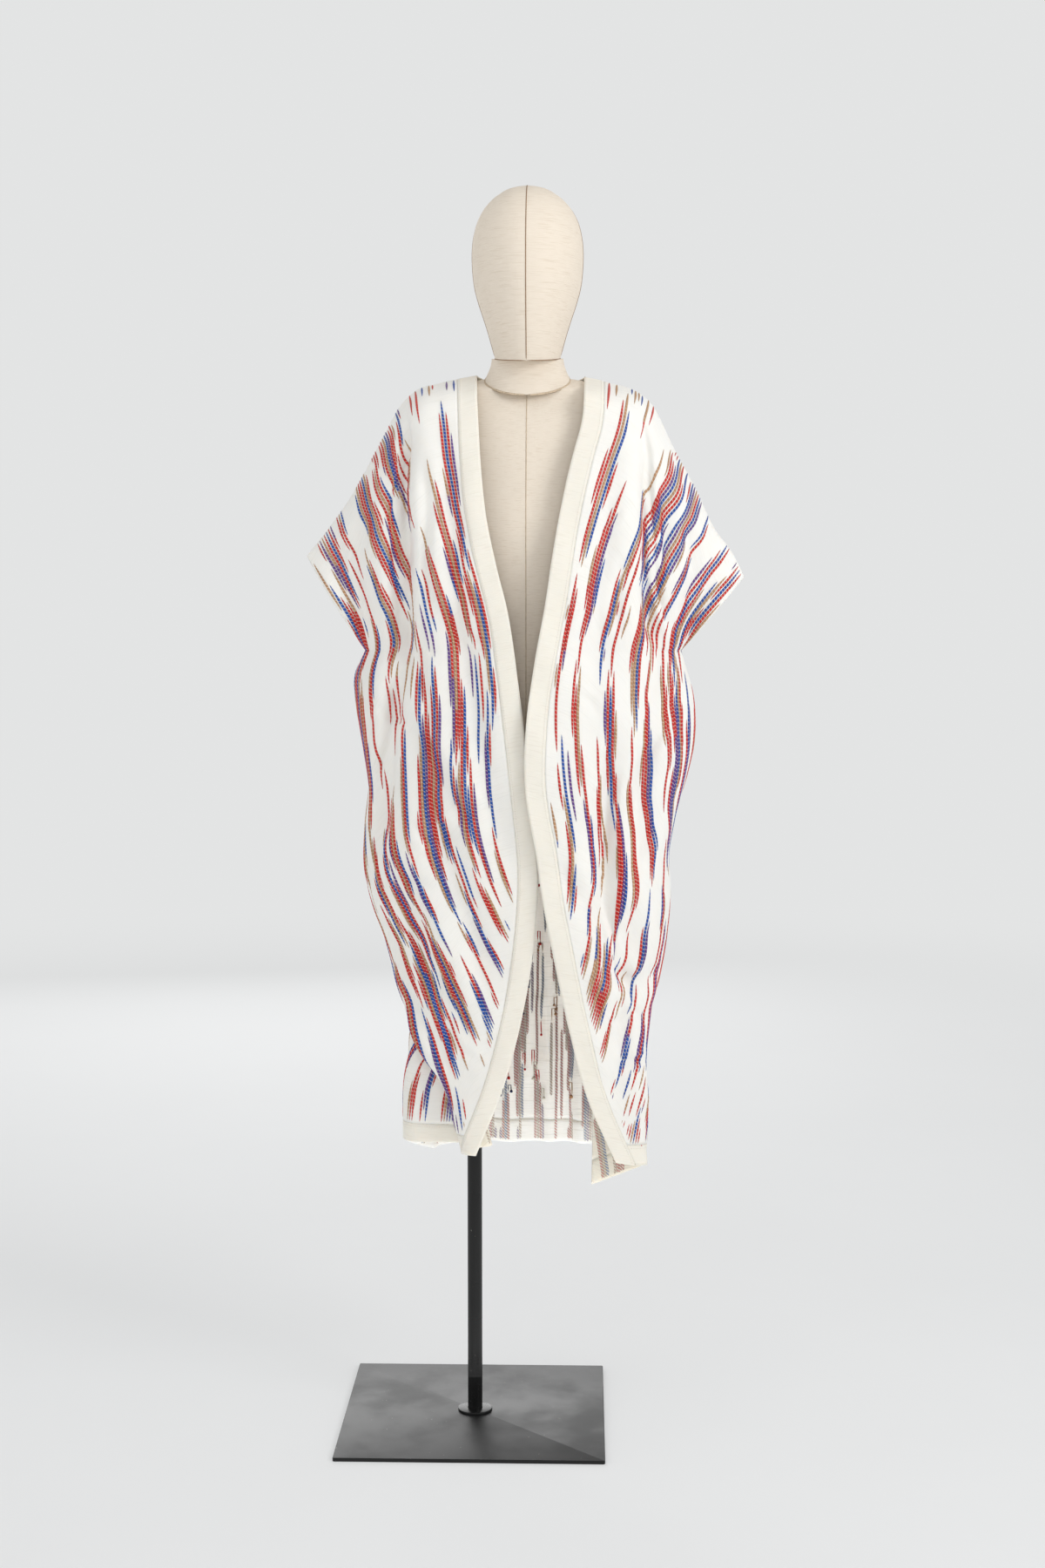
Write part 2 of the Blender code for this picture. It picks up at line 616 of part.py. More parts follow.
def add_form_part(name, rings, cuts, material, collection):
    """Body of stacked rings, closed at both ends and trimmed by sloping planes."""
    shell = bmesh.new()
    loops = [[shell.verts.new(point) for point in ring_points(ring)] for ring in rings]
    for lower, upper in zip(loops, loops[1:]):
        for index in range(RING_SIDES):
            following = (index + 1) % RING_SIDES
            shell.faces.new([lower[index], lower[following], upper[following], upper[index]])
    shell.faces.new(list(reversed(loops[0])))
    shell.faces.new(loops[-1])
    for height, slope, keep_above in cuts:
        normal = (0.0, slope, -1.0) if keep_above else (0.0, -slope, 1.0)
        parts = shell.verts[:] + shell.edges[:] + shell.faces[:]
        result = bmesh.ops.bisect_plane(
            shell, geom=parts, plane_co=(FORM_X, 0.0, height), plane_no=normal, clear_outer=True)
        rim = [part for part in result["geom_cut"] if isinstance(part, bmesh.types.BMEdge)]
        bmesh.ops.edgeloop_fill(shell, edges=rim)
    bmesh.ops.triangulate(shell, faces=shell.faces[:])
    bmesh.ops.recalc_face_normals(shell, faces=shell.faces[:])
    mesh = bpy.data.meshes.new(name)
    shell.to_mesh(mesh)
    shell.free()
    mesh.shade_smooth()
    mesh.set_sharp_from_angle(angle=SHARP_ANGLE)
    return new_object(name, mesh, material, collection)


def add_form(linen, collection):
    """Limbless torso, neck and plain head, parted where the linen cover is seamed."""
    chin_height, chin_slope = CHIN_PLANE
    neck_height, neck_slope = NECK_PLANE
    add_form_part("form_torso", TORSO_RINGS, [(neck_height, neck_slope, False)], linen, collection)
    seat = PART_GAP * math.hypot(1.0, neck_slope)
    neck_cuts = [(neck_height + seat, neck_slope, True), (chin_height - PART_GAP, chin_slope, False)]
    add_form_part("form_neck", NECK_RINGS, neck_cuts, linen, collection)
    add_form_part("form_head", HEAD_RINGS, [(chin_height, chin_slope, True)], linen, collection)


def add_cylinder(name, radius, bottom, top, material, collection):
    """Upright round bar on the pole's axis."""
    shell = bmesh.new()
    bmesh.ops.create_cone(
        shell, cap_ends=True, segments=ROUND_SIDES, radius1=radius, radius2=radius, depth=top - bottom)
    mesh = bpy.data.meshes.new(name)
    shell.to_mesh(mesh)
    shell.free()
    mesh.shade_smooth()
    mesh.set_sharp_from_angle(angle=SHARP_ANGLE)
    item = new_object(name, mesh, material, collection)
    item.location = (0.0, 0.0, (bottom + top) / 2)
    return item


def add_stand(steel, collection):
    """Base plate, flange ring and pole."""
    shell = bmesh.new()
    bmesh.ops.create_cube(shell, size=1.0)
    bmesh.ops.scale(shell, vec=(PLATE_SIZE, PLATE_SIZE, PLATE_THICKNESS), verts=shell.verts)
    mesh = bpy.data.meshes.new("stand_base")
    shell.to_mesh(mesh)
    shell.free()
    plate = new_object("stand_base", mesh, steel, collection)
    plate.location = (0.0, 0.0, PLATE_THICKNESS / 2)
    foot = PLATE_THICKNESS + PART_GAP
    add_cylinder("stand_pole", POLE_RADIUS, foot, TORSO_BOTTOM - PART_GAP, steel, collection)
    mesh = bpy.data.meshes.new("stand_flange")
    shell = bmesh.new()
    inner = POLE_RADIUS + PART_GAP
    profile = [(inner, 0.0), (FLANGE_RADIUS, 0.0), (FLANGE_RADIUS, FLANGE_HEIGHT), (inner, FLANGE_HEIGHT)]
    corners = [shell.verts.new((radius, 0.0, foot + height)) for radius, height in profile]
    edges = [shell.edges.new((corners[index], corners[(index + 1) % 4])) for index in range(4)]
    bmesh.ops.spin(
        shell, geom=corners + edges, cent=(0, 0, 0), axis=(0, 0, 1),
        angle=2 * math.pi, steps=ROUND_SIDES, use_merge=True)
    bmesh.ops.recalc_face_normals(shell, faces=shell.faces[:])
    shell.to_mesh(mesh)
    shell.free()
    new_object("stand_flange", mesh, steel, collection)


def main():
    """Build every piece."""
    clear_scene()
    collection = bpy.data.collections.new("kimono_on_dress_form")
    bpy.context.scene.collection.children.link(collection)
    cloth = make_material("slub_cotton", CREAM, 0.85, 0.0)
    band = make_material("band_cotton", BAND_CREAM, 0.85, 0.0)
    linen = make_material("form_linen", LINEN, 0.9, 0.0)
    steel = make_material("black_steel", BLACK, 0.35, 0.6)
    add_front(RIGHT, "right", cloth, band, collection)
    add_front(LEFT, "left", cloth, band, collection)
    add_back(cloth, band, collection)
    add_form(linen, collection)
    add_stand(steel, collection)


main()
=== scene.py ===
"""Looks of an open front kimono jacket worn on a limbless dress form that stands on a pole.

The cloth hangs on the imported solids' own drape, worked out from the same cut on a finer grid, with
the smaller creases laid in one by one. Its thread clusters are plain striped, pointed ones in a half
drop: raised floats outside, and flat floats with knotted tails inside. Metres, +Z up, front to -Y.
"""

import logging
import math
from dataclasses import dataclass, field
from enum import Enum
from typing import Iterable, NamedTuple, Sequence

import bmesh
import bpy
import numpy as np
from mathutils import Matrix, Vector


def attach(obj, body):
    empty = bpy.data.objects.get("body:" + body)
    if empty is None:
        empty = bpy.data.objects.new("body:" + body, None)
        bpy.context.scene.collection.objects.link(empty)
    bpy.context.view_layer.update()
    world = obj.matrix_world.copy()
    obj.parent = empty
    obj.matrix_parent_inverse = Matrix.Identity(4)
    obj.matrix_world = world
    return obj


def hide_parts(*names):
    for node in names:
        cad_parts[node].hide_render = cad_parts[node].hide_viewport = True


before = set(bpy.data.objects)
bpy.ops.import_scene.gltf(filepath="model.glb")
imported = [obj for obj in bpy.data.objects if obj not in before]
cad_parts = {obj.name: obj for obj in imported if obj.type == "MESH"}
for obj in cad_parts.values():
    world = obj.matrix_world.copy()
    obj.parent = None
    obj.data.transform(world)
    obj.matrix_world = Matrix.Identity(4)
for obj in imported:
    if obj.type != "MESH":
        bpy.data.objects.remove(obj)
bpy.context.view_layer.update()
LOG = logging.getLogger("kimono")
Array = np.ndarray
Colour = tuple[float, float, float, float]
Value = float | Colour | bpy.types.NodeSocket

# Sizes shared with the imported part
FORM_X = 0.072
BAND_WIDTH = 0.026
SEAM_GAP = 0.0003
BAND_SEAM_GAP = 0.0004
HIDDEN_SEAM_GAP = 0.0018
ARM_LEVEL = 1.050
LOW_LEVEL = 0.560
HEM_LEVEL = 0.385
BACK_DEPTH_ARM = 0.128
BACK_DEPTH_HEM = 0.145
BACK_NECK_DEPTH = 0.060
BACK_NECK_DROP = 0.010
BACK_NECK_SLOPE = 0.35
CUFF_BULGE = 0.032
SLEEVE_START = 0.55
SIDE_STRIP = 0.045
FOLD_RADIUS = 0.007
SIDE_RADIUS = 0.024
FOLD_START = 0.610
FOLD_FULL = 0.490
FOLD_DEPTH_Y = -0.084
BACK_HEM_STATION = 1.4
BACK_HEM_LIFT = 0.008
FOLD_TAPER = 0.25
EDGE_PULL_POWER = 3
SHOULDER_SQUARE = 2.4
SHOULDER_POWER = 0.45
LEAST_FRONT_SHARE = 0.30
PLATE_SIZE = 0.355
PLATE_THICKNESS = 0.005
FLANGE_RADIUS = 0.0235
FLANGE_HEIGHT = 0.003
FLANGE_RIM = 0.0008
PLATE_CORNER = 0.0025
PLATE_RIM = 0.0006
POLE_BEAD = 0.0012
POLE_RADIUS = 0.010
TORSO_BOTTOM = 0.800
PART_GAP = 0.0003
CHIN_PLANE = (1.435, 0.14)
NECK_PLANE = (1.409, 0.46)

# Fine sizes of the cloth
DENSE = 240
TURN_STEPS = 12
CLOTH_WALL = 0.0011
BAND_WALL = 0.0016
BAND_COLUMNS = 9
FRONT_COLUMNS = 80
BACK_COLUMNS = 46
STRIP_COLUMNS = 22
YOKE_ROWS = 76
BODY_ROWS = 124
HEM_ROWS = 7
HEM_ROW = YOKE_ROWS + BODY_ROWS
NECK_COLUMNS = 64
FORM_CLEARANCE = 0.0024
SETTLE_TOP = 1.365
STEPS_DENSE = 3000


class Edge(NamedTuple):
    """Front edge in plan at a height."""

    z: float
    out: float
    y: float


class Side(NamedTuple):
    """Outline of the body, or outer fold of the front layer, at a height."""

    z: float
    out: float


class Seam(NamedTuple):
    """Height of the shoulder seam at a distance from the middle line."""

    out: float
    z: float


class Grain(NamedTuple):
    """Where on the straight cut cloth the front edge lies at a height."""

    z: float
    start: float


class Shape(NamedTuple):
    """How square the plan curve is at a height."""

    z: float
    power: float


class Hem(NamedTuple):
    """Hem heights at the front tip, fold, hidden seam, side and back."""

    tip: float
    fold: float
    hidden: float
    side: float
    back: float


class Fold(NamedTuple):
    """Large trough between two rows, square to the plan curve."""

    start: float
    end: float
    out_start: float
    out_end: float
    width: float
    depth: float


class Crease(NamedTuple):
    """Small trough along a line of (out, z) points; a negative depth is a ridge.

    A ledge is a fold whose far side, to the left looking along the line, lies behind its near side.
    """

    line: tuple[tuple[float, float], ...]
    width: float
    depth: float
    ledge: bool = False


class Ring(NamedTuple):
    """Egg shaped section of the form."""

    z: float
    half: float
    front: float
    back: float


class FlatCut(NamedTuple):
    """Piece of cloth before it is sewn."""

    width: float
    length: float
    area: float


class FrontCut(NamedTuple):
    """One front as it is worn."""

    side: int
    edge: list[Edge]
    outline: list[Side]
    seam: list[Seam]
    layer: list[Side]
    hem: Hem
    overlap: float
    folds: list[Fold]
    grain: list[Grain]
    creases: list[Crease]


def table(kind: type, *rows: tuple) -> list:
    """Rows of plain numbers as named tuples of one kind."""
    return [kind(*row) for row in rows]


RIGHT = FrontCut(
    side=-1,
    edge=table(Edge,
        (1.412, 0.067, 0.000), (1.395, 0.065, -0.044), (1.352, 0.062, -0.074),
        (1.295, 0.058, -0.096), (1.227, 0.051, -0.110), (1.160, 0.037, -0.118),
        (1.104, 0.023, -0.121), (1.011, 0.009, -0.124), (0.939, 0.000, -0.125),
        (0.850, -0.009, -0.125), (0.761, -0.017, -0.125), (0.677, -0.012, -0.124),
        (0.590, 0.001, -0.120), (0.482, 0.028, -0.113), (0.385, 0.065, -0.105),
    ),
    outline=table(Side,
        (1.050, 0.216), (1.017, 0.231), (0.988, 0.231), (0.916, 0.219),
        (0.870, 0.213), (0.811, 0.218), (0.751, 0.218), (0.699, 0.205),
        (0.668, 0.193), (0.633, 0.183), (0.595, 0.175), (0.560, 0.165),
        (0.529, 0.159), (0.457, 0.165), (0.385, 0.166),
    ),
    seam=table(Seam,
        (0.067, 1.412), (0.117, 1.402), (0.150, 1.391), (0.169, 1.372),
        (0.194, 1.327), (0.234, 1.255), (0.271, 1.204), (0.295, 1.175),
    ),
    layer=table(Side,
        (0.570, 0.157), (0.545, 0.149), (0.518, 0.135), (0.485, 0.114),
        (0.445, 0.099), (0.385, 0.085),
    ),
    hem=Hem(tip=0.388, fold=0.388, hidden=0.394, side=0.396, back=0.346),
    overlap=0.026,
    folds=table(Fold,
        (0.05, 1.18, 0.158, 0.166, 0.018, 0.024),
        (1.02, 1.42, 0.172, 0.196, 0.016, 0.012),
        (0.80, 1.46, 0.110, 0.020, 0.020, 0.009),
        (1.12, 1.70, 0.160, 0.045, 0.024, 0.010),
        (1.40, 1.88, 0.180, 0.085, 0.020, 0.010),
        (0.25, 1.05, 0.108, 0.082, 0.020, 0.008),
    ),
    grain=table(Grain,
        (1.412, 0.070), (1.050, 0.075), (0.750, 0.080), (0.600, 0.170),
        (0.450, 0.266), (0.385, 0.300),
    ),
    creases=table(Crease,
        (((0.161, 1.384), (0.152, 1.332), (0.155, 1.263), (0.151, 1.172), (0.151, 1.104)), 0.005, 0.0125, True),
        (((0.175, 1.024), (0.177, 0.955), (0.189, 0.909), (0.209, 0.874)), 0.009, 0.0055),
        (((0.214, 0.816), (0.214, 0.759), (0.197, 0.709), (0.176, 0.639), (0.157, 0.566)), 0.008, -0.003),
        (((0.185, 1.000), (0.120, 0.900), (0.060, 0.800)), 0.012, 0.0040),
        (((0.110, 1.360), (0.095, 1.250), (0.080, 1.150)), 0.015, 0.0030),
        (((0.150, 0.700), (0.100, 0.600), (0.060, 0.520)), 0.014, 0.0040),
        (((0.165, 0.620), (0.120, 0.530), (0.085, 0.470)), 0.010, 0.0030),
        (((0.020, 0.860), (0.070, 0.840), (0.120, 0.860)), 0.010, 0.0020),
        (((0.205, 1.240), (0.225, 1.160), (0.215, 1.080)), 0.010, 0.0030),
        (((0.190, 0.790), (0.150, 0.750), (0.110, 0.740)), 0.009, 0.0020),
        (((0.135, 1.320), (0.128, 1.240), (0.132, 1.160), (0.120, 1.090)), 0.009, 0.0055),
        (((0.175, 1.300), (0.178, 1.210), (0.170, 1.120), (0.160, 1.060)), 0.010, 0.0060),
        (((0.140, 1.060), (0.128, 0.980), (0.122, 0.900)), 0.008, 0.0045),
        (((0.200, 0.985), (0.180, 0.965), (0.150, 0.955)), 0.005, 0.0022),
        (((0.090, 1.120), (0.075, 1.080), (0.050, 1.050)), 0.005, 0.0016),
        (((0.060, 0.950), (0.085, 0.925), (0.105, 0.915)), 0.005, 0.0016),
        (((0.150, 0.830), (0.125, 0.800), (0.095, 0.790)), 0.005, 0.0018),
        (((0.105, 0.560), (0.085, 0.530), (0.060, 0.515)), 0.005, 0.0015),
    ),
)

LEFT = FrontCut(
    side=1,
    edge=table(Edge,
        (1.410, 0.075, 0.000), (1.394, 0.075, -0.044), (1.347, 0.072, -0.076),
        (1.305, 0.061, -0.094), (1.223, 0.043, -0.113), (1.162, 0.033, -0.122),
        (1.114, 0.026, -0.127), (1.036, 0.012, -0.132), (0.962, 0.002, -0.136),
        (0.877, 0.000, -0.137), (0.785, 0.015, -0.136), (0.734, 0.022, -0.136),
        (0.656, 0.037, -0.134), (0.560, 0.057, -0.126), (0.468, 0.082, -0.116),
        (0.385, 0.119, -0.102),
    ),
    outline=table(Side,
        (1.050, 0.204), (1.021, 0.213), (0.991, 0.221), (0.926, 0.222),
        (0.889, 0.214), (0.827, 0.197), (0.776, 0.189), (0.737, 0.192),
        (0.670, 0.187), (0.625, 0.180), (0.563, 0.166), (0.493, 0.154),
        (0.385, 0.150),
    ),
    seam=table(Seam,
        (0.075, 1.410), (0.109, 1.402), (0.143, 1.391), (0.163, 1.375),
        (0.196, 1.311), (0.222, 1.264), (0.247, 1.212), (0.272, 1.178),
        (0.288, 1.147),
    ),
    layer=table(Side,
        (0.570, 0.166), (0.520, 0.159), (0.450, 0.160), (0.385, 0.159),
    ),
    hem=Hem(tip=0.379, fold=0.372, hidden=0.341, side=0.376, back=0.346),
    overlap=0.058,
    folds=table(Fold,
        (0.05, 1.08, 0.152, 0.172, 0.017, 0.019),
        (1.18, 1.66, 0.104, 0.106, 0.015, 0.015),
        (1.46, 1.90, 0.150, 0.118, 0.020, 0.011),
        (0.35, 1.20, 0.112, 0.088, 0.022, 0.008),
        (0.95, 1.45, 0.175, 0.145, 0.018, 0.010),
    ),
    grain=table(Grain,
        (1.410, 0.070), (1.050, 0.075), (0.734, 0.075), (0.560, 0.150),
        (0.450, 0.220), (0.385, 0.265),
    ),
    creases=table(Crease,
        (((0.149, 1.385), (0.152, 1.331), (0.156, 1.263), (0.163, 1.195), (0.171, 1.115), (0.195, 1.058)),
         0.005, 0.0095, True),
        (((0.108, 0.993), (0.104, 0.925), (0.102, 0.858), (0.103, 0.707), (0.111, 0.675),
          (0.124, 0.627), (0.139, 0.589), (0.159, 0.527)), 0.006, 0.0100, True),
        (((0.105, 0.660), (0.125, 0.625), (0.150, 0.615), (0.175, 0.640)), 0.012, 0.0060),
        (((0.115, 0.508), (0.135, 0.516), (0.160, 0.512)), 0.004, 0.0035),
        (((0.120, 1.350), (0.105, 1.240), (0.095, 1.140)), 0.014, 0.0030),
        (((0.195, 1.010), (0.165, 0.930), (0.140, 0.850)), 0.010, 0.0030),
        (((0.180, 0.860), (0.150, 0.790), (0.130, 0.740)), 0.009, 0.0030),
        (((0.030, 0.780), (0.070, 0.740), (0.100, 0.680)), 0.012, 0.0030),
        (((0.060, 0.560), (0.100, 0.490), (0.140, 0.460)), 0.012, 0.0025),
        (((0.205, 1.230), (0.220, 1.160), (0.208, 1.090)), 0.009, 0.0045),
        (((0.178, 1.290), (0.182, 1.210), (0.178, 1.130)), 0.009, 0.0055),
        (((0.130, 1.180), (0.118, 1.120), (0.122, 1.060)), 0.008, 0.0035),
        (((0.125, 1.235), (0.112, 1.215), (0.092, 1.205)), 0.004, 0.0016),
        (((0.140, 1.165), (0.122, 1.145), (0.104, 1.140)), 0.004, 0.0016),
        (((0.060, 1.000), (0.080, 0.990), (0.098, 0.965)), 0.005, 0.0016),
        (((0.135, 0.900), (0.120, 0.885), (0.112, 0.850)), 0.005, 0.0018),
        (((0.190, 0.960), (0.168, 0.930), (0.150, 0.915)), 0.005, 0.0022),
        (((0.115, 0.560), (0.135, 0.575), (0.158, 0.570)), 0.006, 0.0028),
    ),
)

# How square the plan curve is at each height: 2 is an ellipse, less is a lens
ROUNDNESS = table(Shape, (0.385, 2.3), (0.750, 2.3), (0.900, 2.1), (1.050, 1.7))

# Vertical waves across the back; start and end count rows as in the fronts, out is signed
BACK_FOLDS = table(Fold,
    (1.00, 2.40, -0.150, -0.140, 0.020, 0.010),
    (1.15, 2.40, -0.085, -0.088, 0.018, 0.012),
    (0.70, 2.40, -0.030, -0.034, 0.020, 0.012),
    (0.80, 2.40, 0.026, 0.028, 0.018, 0.013),
    (1.10, 2.40, 0.082, 0.080, 0.020, 0.012),
    (0.95, 2.40, 0.140, 0.128, 0.020, 0.011),
)

TORSO_RINGS = table(Ring,
    (0.800, 0.146, 0.090, 0.098), (0.806, 0.150, 0.094, 0.102), (0.870, 0.152, 0.095, 0.104),
    (0.960, 0.136, 0.088, 0.090), (1.050, 0.122, 0.084, 0.078), (1.130, 0.132, 0.090, 0.080),
    (1.210, 0.150, 0.092, 0.086), (1.280, 0.155, 0.080, 0.090), (1.330, 0.156, 0.068, 0.084),
    (1.358, 0.154, 0.058, 0.073), (1.376, 0.148, 0.048, 0.062), (1.388, 0.134, 0.042, 0.051),
    (1.3994, 0.106, 0.0390, 0.046), (1.407, 0.063, 0.046, 0.048), (1.440, 0.056, 0.045, 0.048),
)
NECK_RINGS = table(Ring,
    (1.340, 0.064, 0.064, 0.058), (1.380, 0.0625, 0.060, 0.056), (1.400, 0.060, 0.052, 0.053),
    (1.412, 0.055, 0.048, 0.051), (1.424, 0.050, 0.046, 0.050), (1.445, 0.0475, 0.046, 0.049),
    (1.480, 0.0465, 0.046, 0.049),
)
HEAD_RINGS = table(Ring,
    (1.405, 0.030, 0.058, 0.040), (1.425, 0.0405, 0.072, 0.050), (1.450, 0.0475, 0.082, 0.060),
    (1.471, 0.0535, 0.089, 0.070), (1.488, 0.0590, 0.094, 0.077), (1.506, 0.0650, 0.098, 0.085),
    (1.527, 0.0705, 0.101, 0.092), (1.550, 0.0732, 0.102, 0.097), (1.573, 0.0738, 0.100, 0.099),
    (1.596, 0.0712, 0.094, 0.097), (1.616, 0.0650, 0.083, 0.090), (1.632, 0.0550, 0.069, 0.077),
    (1.645, 0.0410, 0.051, 0.058), (1.6545, 0.0235, 0.029, 0.033),
    (1.6585, 0.0080, 0.010, 0.011),
)

# Smaller creases of the back; out is signed, +out is the wearer's left
BACK_CREASES = table(Crease,
    (((-0.160, 1.370), (-0.152, 1.280), (-0.160, 1.180), (-0.185, 1.080)), 0.010, 0.0040),
    (((0.158, 1.370), (0.150, 1.290), (0.162, 1.170), (0.180, 1.085)), 0.010, 0.0040),
    (((-0.180, 1.070), (-0.120, 1.010), (-0.050, 0.980)), 0.014, 0.0040),
    (((0.175, 1.075), (0.130, 1.020), (0.080, 0.995)), 0.013, 0.0035),
    (((-0.060, 1.390), (-0.040, 1.300), (-0.050, 1.200)), 0.016, 0.0030),
    (((0.060, 1.385), (0.055, 1.290), (0.040, 1.220)), 0.015, 0.0030),
    (((-0.150, 0.940), (-0.110, 0.860), (-0.100, 0.760)), 0.012, 0.0030),
    (((0.150, 0.930), (0.120, 0.850), (0.100, 0.790)), 0.012, 0.0030),
    (((0.000, 0.980), (0.010, 0.900), (-0.005, 0.800)), 0.014, 0.0025),
    (((-0.050, 0.640), (-0.060, 0.560), (-0.045, 0.480)), 0.010, 0.0020),
)

# Creases and ripples
CREASE_STEPS = 28
CREASE_TAPER = 0.25
CREASE_RIM = 0.4
CREASE_RIM_AWAY = 1.9
LEDGE_REACH = 4.0
LEDGE_SHARPNESS = 5.0
RIPPLES = ((0.160, 0.0012), (0.090, 0.0010), (0.055, 0.0006), (0.036, 0.0003))
RIPPLE_TURN = 0.9
RIPPLE_BEND = 0.35
RIPPLE_BEND_PITCH = (14, 26)
FRONT_RIPPLE_SEED = 5
BACK_RIPPLE_SEED = 9
SEAM_FADE = 0.04
SIDE_FADE = 4
BACK_FADE = 10
LEVEL_SHARE = 0.15

# Yarns, stitches and seams
EDGE_MARGIN = 0.003
YARN_PITCH = 0.0036
FLOAT_WIDTH = 0.0036
FLOAT_HEIGHT = 0.0010
FLOAT_TAPER = 0.030
END_SPREAD = 0.022
LEAN = 0.010
LEAST_FLOAT = 0.014
FLOAT_GAP = 0.012
REVERSE_LIFT = 0.0002
REVERSE_HEIGHT = 0.0004
STAIR = 0.012
TAIL_SHARES = {"back": 0.80, "front_right": 0.15, "front_left": 0.50}
TAIL_START = 0.58
TAIL_END = 0.94
TAIL_INSET = 10
TAIL_HEM = 0.050
TAIL_LIFT = 0.0014
TAIL_WIDTH = 0.0013
TAIL_HEIGHT = 0.0010
KNOT_SHARE = 0.75
HANGING_SHARE = 0.4
CLUSTER_SHIFT = (0.007, 0.050)
CLUSTER_STRETCH = (0.75, 1.15)
CLUSTER_POINT = 1.7
LEAST_STEP = 0.0015
REVERSE_TAPER = 0.002
STITCH_PITCH = 0.0032
STITCH_SHARE = 0.72
STITCH_WIDTH = 0.0007
STITCH_HEIGHT = 0.0003
STITCH_TAPER = 0.0008
FILLER_SIZES = ((0.5, 1, 0.0012, 0.0006), (0.3, -1, 0.0016, 0.0008))
SEAM_CORD_WIDTH = 0.0012
SEAM_CORD_HEIGHT = 0.0006

# Studio
CAMERA_PLACE = (0.1458, -2.919, 1.1122)
CAMERA_PITCH = 0.0827
CAMERA_YAW = 0.0276
FLOOR_RADIUS = 12.0
AIR_STRENGTH = 0.875
ZENITH_SHARE = 0.40
FLOOR_GLOW = 0.45
FLOOR_FADE = (0.9, 5.0)

# Yarn colours on the wrong side, and the yarn's twist
WRONG_SIDE_SHARE = 0.38
WRONG_SIDE_GREY = (238, 230, 222)
YARN_TWIST = 0.0013
YARN_BUMP = (0.8, 0.0004)


def curve_through(keys: Array, values: Array, slopes: Array, where: float | Array) -> Array:
    """Smooth curve through values, with the given slopes.

    Args:
        keys: Rising places of the values.
        values: One number or one row of numbers at each key.
        slopes: Slope of the values at each key.
        where: Places to read the curve at.

    Returns:
        The curve's value at each place.
    """
    index = np.clip(np.searchsorted(keys, where) - 1, 0, len(keys) - 2)
    step = keys[index + 1] - keys[index]
    t = (where - keys[index]) / step
    if values.ndim == 2:
        step, t = step[:, None], t[:, None]
    start = values[index] * (2 * t**3 - 3 * t**2 + 1) + slopes[index] * step * (t**3 - 2 * t**2 + t)
    end = values[index + 1] * (3 * t**2 - 2 * t**3) + slopes[index + 1] * step * (t**3 - t**2)
    return start + end


def smooth_value(rows: Sequence, column: str, where: float | Array) -> Array:
    """Value of a table's column at places in its first column, on a smooth curve.

    Args:
        rows: Table of named tuples.
        column: Name of the column to read.
        where: Place or places in the first column.

    Returns:
        The value at each place.
    """
    ordered = sorted(rows, key=lambda row: row[0])
    keys = np.array([row[0] for row in ordered])
    values = np.array([getattr(row, column) for row in ordered])
    return curve_through(keys, values, np.gradient(values, keys), np.clip(where, keys[0], keys[-1]))


def ease(low: float, high: float, value: float | Array) -> Array:
    """Smooth step from 0 at low to 1 at high."""
    t = np.clip((value - low) / (high - low), 0.0, 1.0)
    return t * t * (3 - 2 * t)


def lengths(points: Array) -> Array:
    """Distance along a row of points, from its start."""
    steps = np.linalg.norm(np.diff(points, axis=0), axis=1)
    return np.concatenate([[0.0], np.cumsum(steps)])


def between(where: Array, keys: Array, rows: Array) -> Array:
    """Rows of numbers read between their keys."""
    return np.stack([np.interp(where, keys, column) for column in rows.T], axis=1)


def unit(vectors: Array) -> Array:
    """Vectors of length one in the same directions."""
    return vectors / np.maximum(np.linalg.norm(vectors, axis=-1, keepdims=True), 1e-12)


def place(points: Array, distances: Array) -> Array:
    """Points at the given distances along a row."""
    return between(distances, lengths(points), points)


def spread(points: Array, count: int) -> Array:
    """The same row as evenly spaced points."""
    return place(points, np.linspace(0.0, lengths(points)[-1], count))


def quarter(start: Array, end: Array, power: float) -> Array:
    """Quarter of a plan curve that leaves start sideways and reaches end heading back.

    Args:
        start: Plan point of out and y.
        end: Plan point at the side.
        power: 2 for an ellipse, less for a lens.

    Returns:
        Plan points from start to end.
    """
    angle = np.linspace(0.0, math.pi / 2, DENSE)
    out = start[0] + (end[0] - start[0]) * np.sin(angle) ** (2 / power)
    y = end[1] + (start[1] - end[1]) * np.clip(np.cos(angle), 0, 1) ** (2 / power)
    return np.stack([out, y], axis=1)


def turn(start: Array, heading: float, change: float, radius: float) -> Array:
    """Arc in plan from start; headings run from the outward direction towards the back.

    Args:
        start: Plan point of out and y.
        heading: Direction that it sets out in.
        change: How far it turns; the sign gives the side.
        radius: Radius of the arc.

    Returns:
        The arc's plan points.
    """
    angles = heading + np.linspace(0.0, change, TURN_STEPS)
    reach = math.copysign(radius, change)
    centre = np.array([start[0] - reach * math.sin(heading), start[1] + reach * math.cos(heading)])
    return centre + reach * np.stack([np.sin(angles), -np.cos(angles)], axis=1)


def fold_share(level: float) -> float:
    """How far the side is folded over itself at a height: 0 is open, 1 is the full fold."""
    return float(ease(-FOLD_START, -FOLD_FULL, -level))


def side_gap(level: float) -> float:
    """Half the side seam's gap at a height, wider inside the fold."""
    return (SEAM_GAP + (HIDDEN_SEAM_GAP - SEAM_GAP) * math.sqrt(fold_share(level))) / 2


def row_number(level: float) -> float:
    """Rows count 0 at the shoulder seam, 1 at the underarm and 2 at the hem."""
    return 1 + (ARM_LEVEL - level) / (ARM_LEVEL - HEM_LEVEL)


